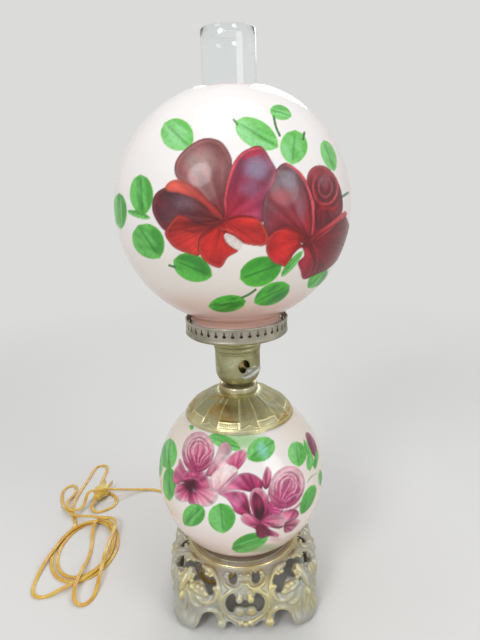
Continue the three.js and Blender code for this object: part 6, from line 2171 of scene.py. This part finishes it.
def cast_paint():
    """Ivory-grey paint over a casting, rubbed through to old gilt on its ridges, dark brown where it sinks
    below its outer face, with a painted bluish reflection on its front right corner.
    """
    finish = Finish("cast_paint")
    clouds = finish.noise(30, detail=6, roughness=0.6, distortion=0.4)
    patches = finish.noise(13, detail=3, roughness=0.5)
    grain = finish.noise(150, detail=5, roughness=0.7)
    paint = finish.stain(clouds, 0.38, 0.62, (0.50, 0.50, 0.43), (0.39, 0.39, 0.34))
    paint = finish.stain(patches, 0.50, 0.64, paint, (0.52, 0.49, 0.31))
    # Painted reflection: a bluish patch of cool light on the front right corner.
    paint = finish.mix(finish.times(finish.attribute("cool"), 0.85), paint, (0.36, 0.41, 0.45))
    worn = finish.times(finish.attribute("relief"), finish.ramp(clouds, 0.36, 0.6, 0.1, 0.8))
    colour = finish.mix(worn, paint, (0.66, 0.57, 0.27))
    colour = finish.mix(finish.times(finish.attribute("hollow"), 0.75), colour, (0.20, 0.17, 0.10))
    finish.set("Base Color", finish.stain(grain, 0.62, 0.78, colour, (0.24, 0.20, 0.12)))
    finish.set("Metallic", finish.ramp(worn, 0, 1, 0.2, 0.75))
    finish.set_roughness(clouds, 0.34, 0.52)
    finish.bump(grain, 0.25, 0.4)
    return finish


def add_base():
    right = half_side_scrolls()
    left = [(vertices * [-1, 1, 1], [face[::-1] for face in faces]) for vertices, faces in right]
    carving = right + left + corner_scrolls()
    parts = [(turned_about_axis(vertices, TURN / 4 * side), faces)
             for side in range(4) for vertices, faces in carving]
    shell = base_shell()
    parts.append(read_back(shell.data))
    bpy.data.objects.remove(shell)
    points, faces = cast_together(parts)
    cast = add_mesh("base_cast", points, faces, 80, weld=False, attributes=base_colours(points))
    fit(cast, "stand", "cast_base", cast_paint(), "base_casting")
    angles = np.arange(BEAD_POINTS) * TURN / BEAD_POINTS
    path = [(BEAD_RADIUS * math.cos(a), BEAD_RADIUS * math.sin(a), BEAD_HEIGHT) for a in angles]
    bead = add_mesh("base_bead", *closed_tube(path, BEAD_THICKNESS, 12), 60)
    fit(bead, "stand", "cast_base", bead_gilt)


add_base()


# Floor, world and lamps
BACKDROP = (0.71, 0.71, 0.70, 1)
WORLD_LIGHT = (0.9, 0.9, 0.9, 1)
WORLD_STRENGTH = 0.4
FLOOR_HALF = 4000
FADE_NEAR = 0.45
FADE_FAR = 1.7


def add_node(tree, kind, links, **settings):
    """A new node, some of whose inputs are linked to sockets."""
    node = tree.nodes.new("ShaderNode" + kind)
    for key, value in settings.items():
        setattr(node, key, value)
    for key, socket in links.items():
        tree.links.new(socket, node.inputs[key])
    return node


def seen_rays(tree):
    """1 for what the camera, a reflection or clear glass shows, and 0 for light on the object."""
    rays = add_node(tree, "LightPath", {}).outputs
    seen = rays["Is Camera Ray"]
    for ray in ("Is Glossy Ray", "Is Transmission Ray"):
        seen = add_node(tree, "Math", {0: seen, 1: rays[ray]}, operation="MAXIMUM").outputs[0]
    return seen


def add_floor():
    """A pale floor that turns into the backdrop's colour away from the lamp."""
    corners = [(-1, -1), (1, -1), (1, 1), (-1, 1)]
    floor = add_mesh("floor", [(x * FLOOR_HALF, y * FLOOR_HALF, 0) for x, y in corners], [[0, 1, 2, 3]])
    finish = Finish("floor_plain", Roughness=0.8)
    clouds = finish.noise(6, detail=3)
    finish.set("Base Color", finish.mix(clouds, (0.79, 0.79, 0.78), (0.76, 0.76, 0.75)))
    tree = finish.tree
    place = add_node(tree, "NewGeometry", {}).outputs["Position"]
    distance = add_node(tree, "VectorMath", {0: place}, operation="LENGTH").outputs["Value"]
    fade = finish.times(finish.ramp(distance, FADE_NEAR, FADE_FAR), seen_rays(tree))
    glow = add_node(tree, "Emission", {})
    glow.inputs["Color"].default_value = BACKDROP
    mixed = add_node(tree, "MixShader", {0: fade, 1: finish.shader.outputs[0], 2: glow.outputs[0]})
    tree.links.new(mixed.outputs[0], tree.nodes["Material Output"].inputs["Surface"])
    floor.data.materials.append(finish.material)


def add_world():
    world = bpy.data.worlds.new("studio")
    world.use_nodes = True
    tree = world.node_tree
    tree.nodes.clear()
    plain, bright = add_node(tree, "Background", {}), add_node(tree, "Background", {})
    plain.inputs["Color"].default_value = WORLD_LIGHT
    plain.inputs["Strength"].default_value = WORLD_STRENGTH
    bright.inputs["Color"].default_value = BACKDROP
    mixed = add_node(tree, "MixShader", {0: seen_rays(tree), 1: plain.outputs[0], 2: bright.outputs[0]})
    add_node(tree, "OutputWorld", {"Surface": mixed.outputs[0]})
    bpy.context.scene.world = world


LAMP_MIDDLE = (0, 0, 0.35)
# Each lamp: its name, place, size and power
LAMPS = [
    ("key", (-0.9, -1.5, 1.5), 0.7, 15), ("fill", (1.3, -1.2, 1.0), 0.9, 8),
    ("rear", (0.2, 1.6, 1.4), 1.0, 10), ("top", (0, -0.1, 1.9), 1.2, 7),
]


def add_lamp(name, place, size, power):
    data = bpy.data.lights.new(name, "AREA")
    data.shape = "DISK"
    data.size = size
    data.energy = power
    lamp = bpy.data.objects.new(name, data)
    lamp.location = place
    lamp.rotation_euler = (Vector(LAMP_MIDDLE) - Vector(place)).to_track_quat("-Z", "Y").to_euler()
    lamp.visible_camera = False
    lamp.visible_transmission = False
    bpy.context.scene.collection.objects.link(lamp)


add_floor()
add_world()
for lamp_row in LAMPS:
    add_lamp(*lamp_row)
bpy.context.scene.view_settings.view_transform = "Standard"
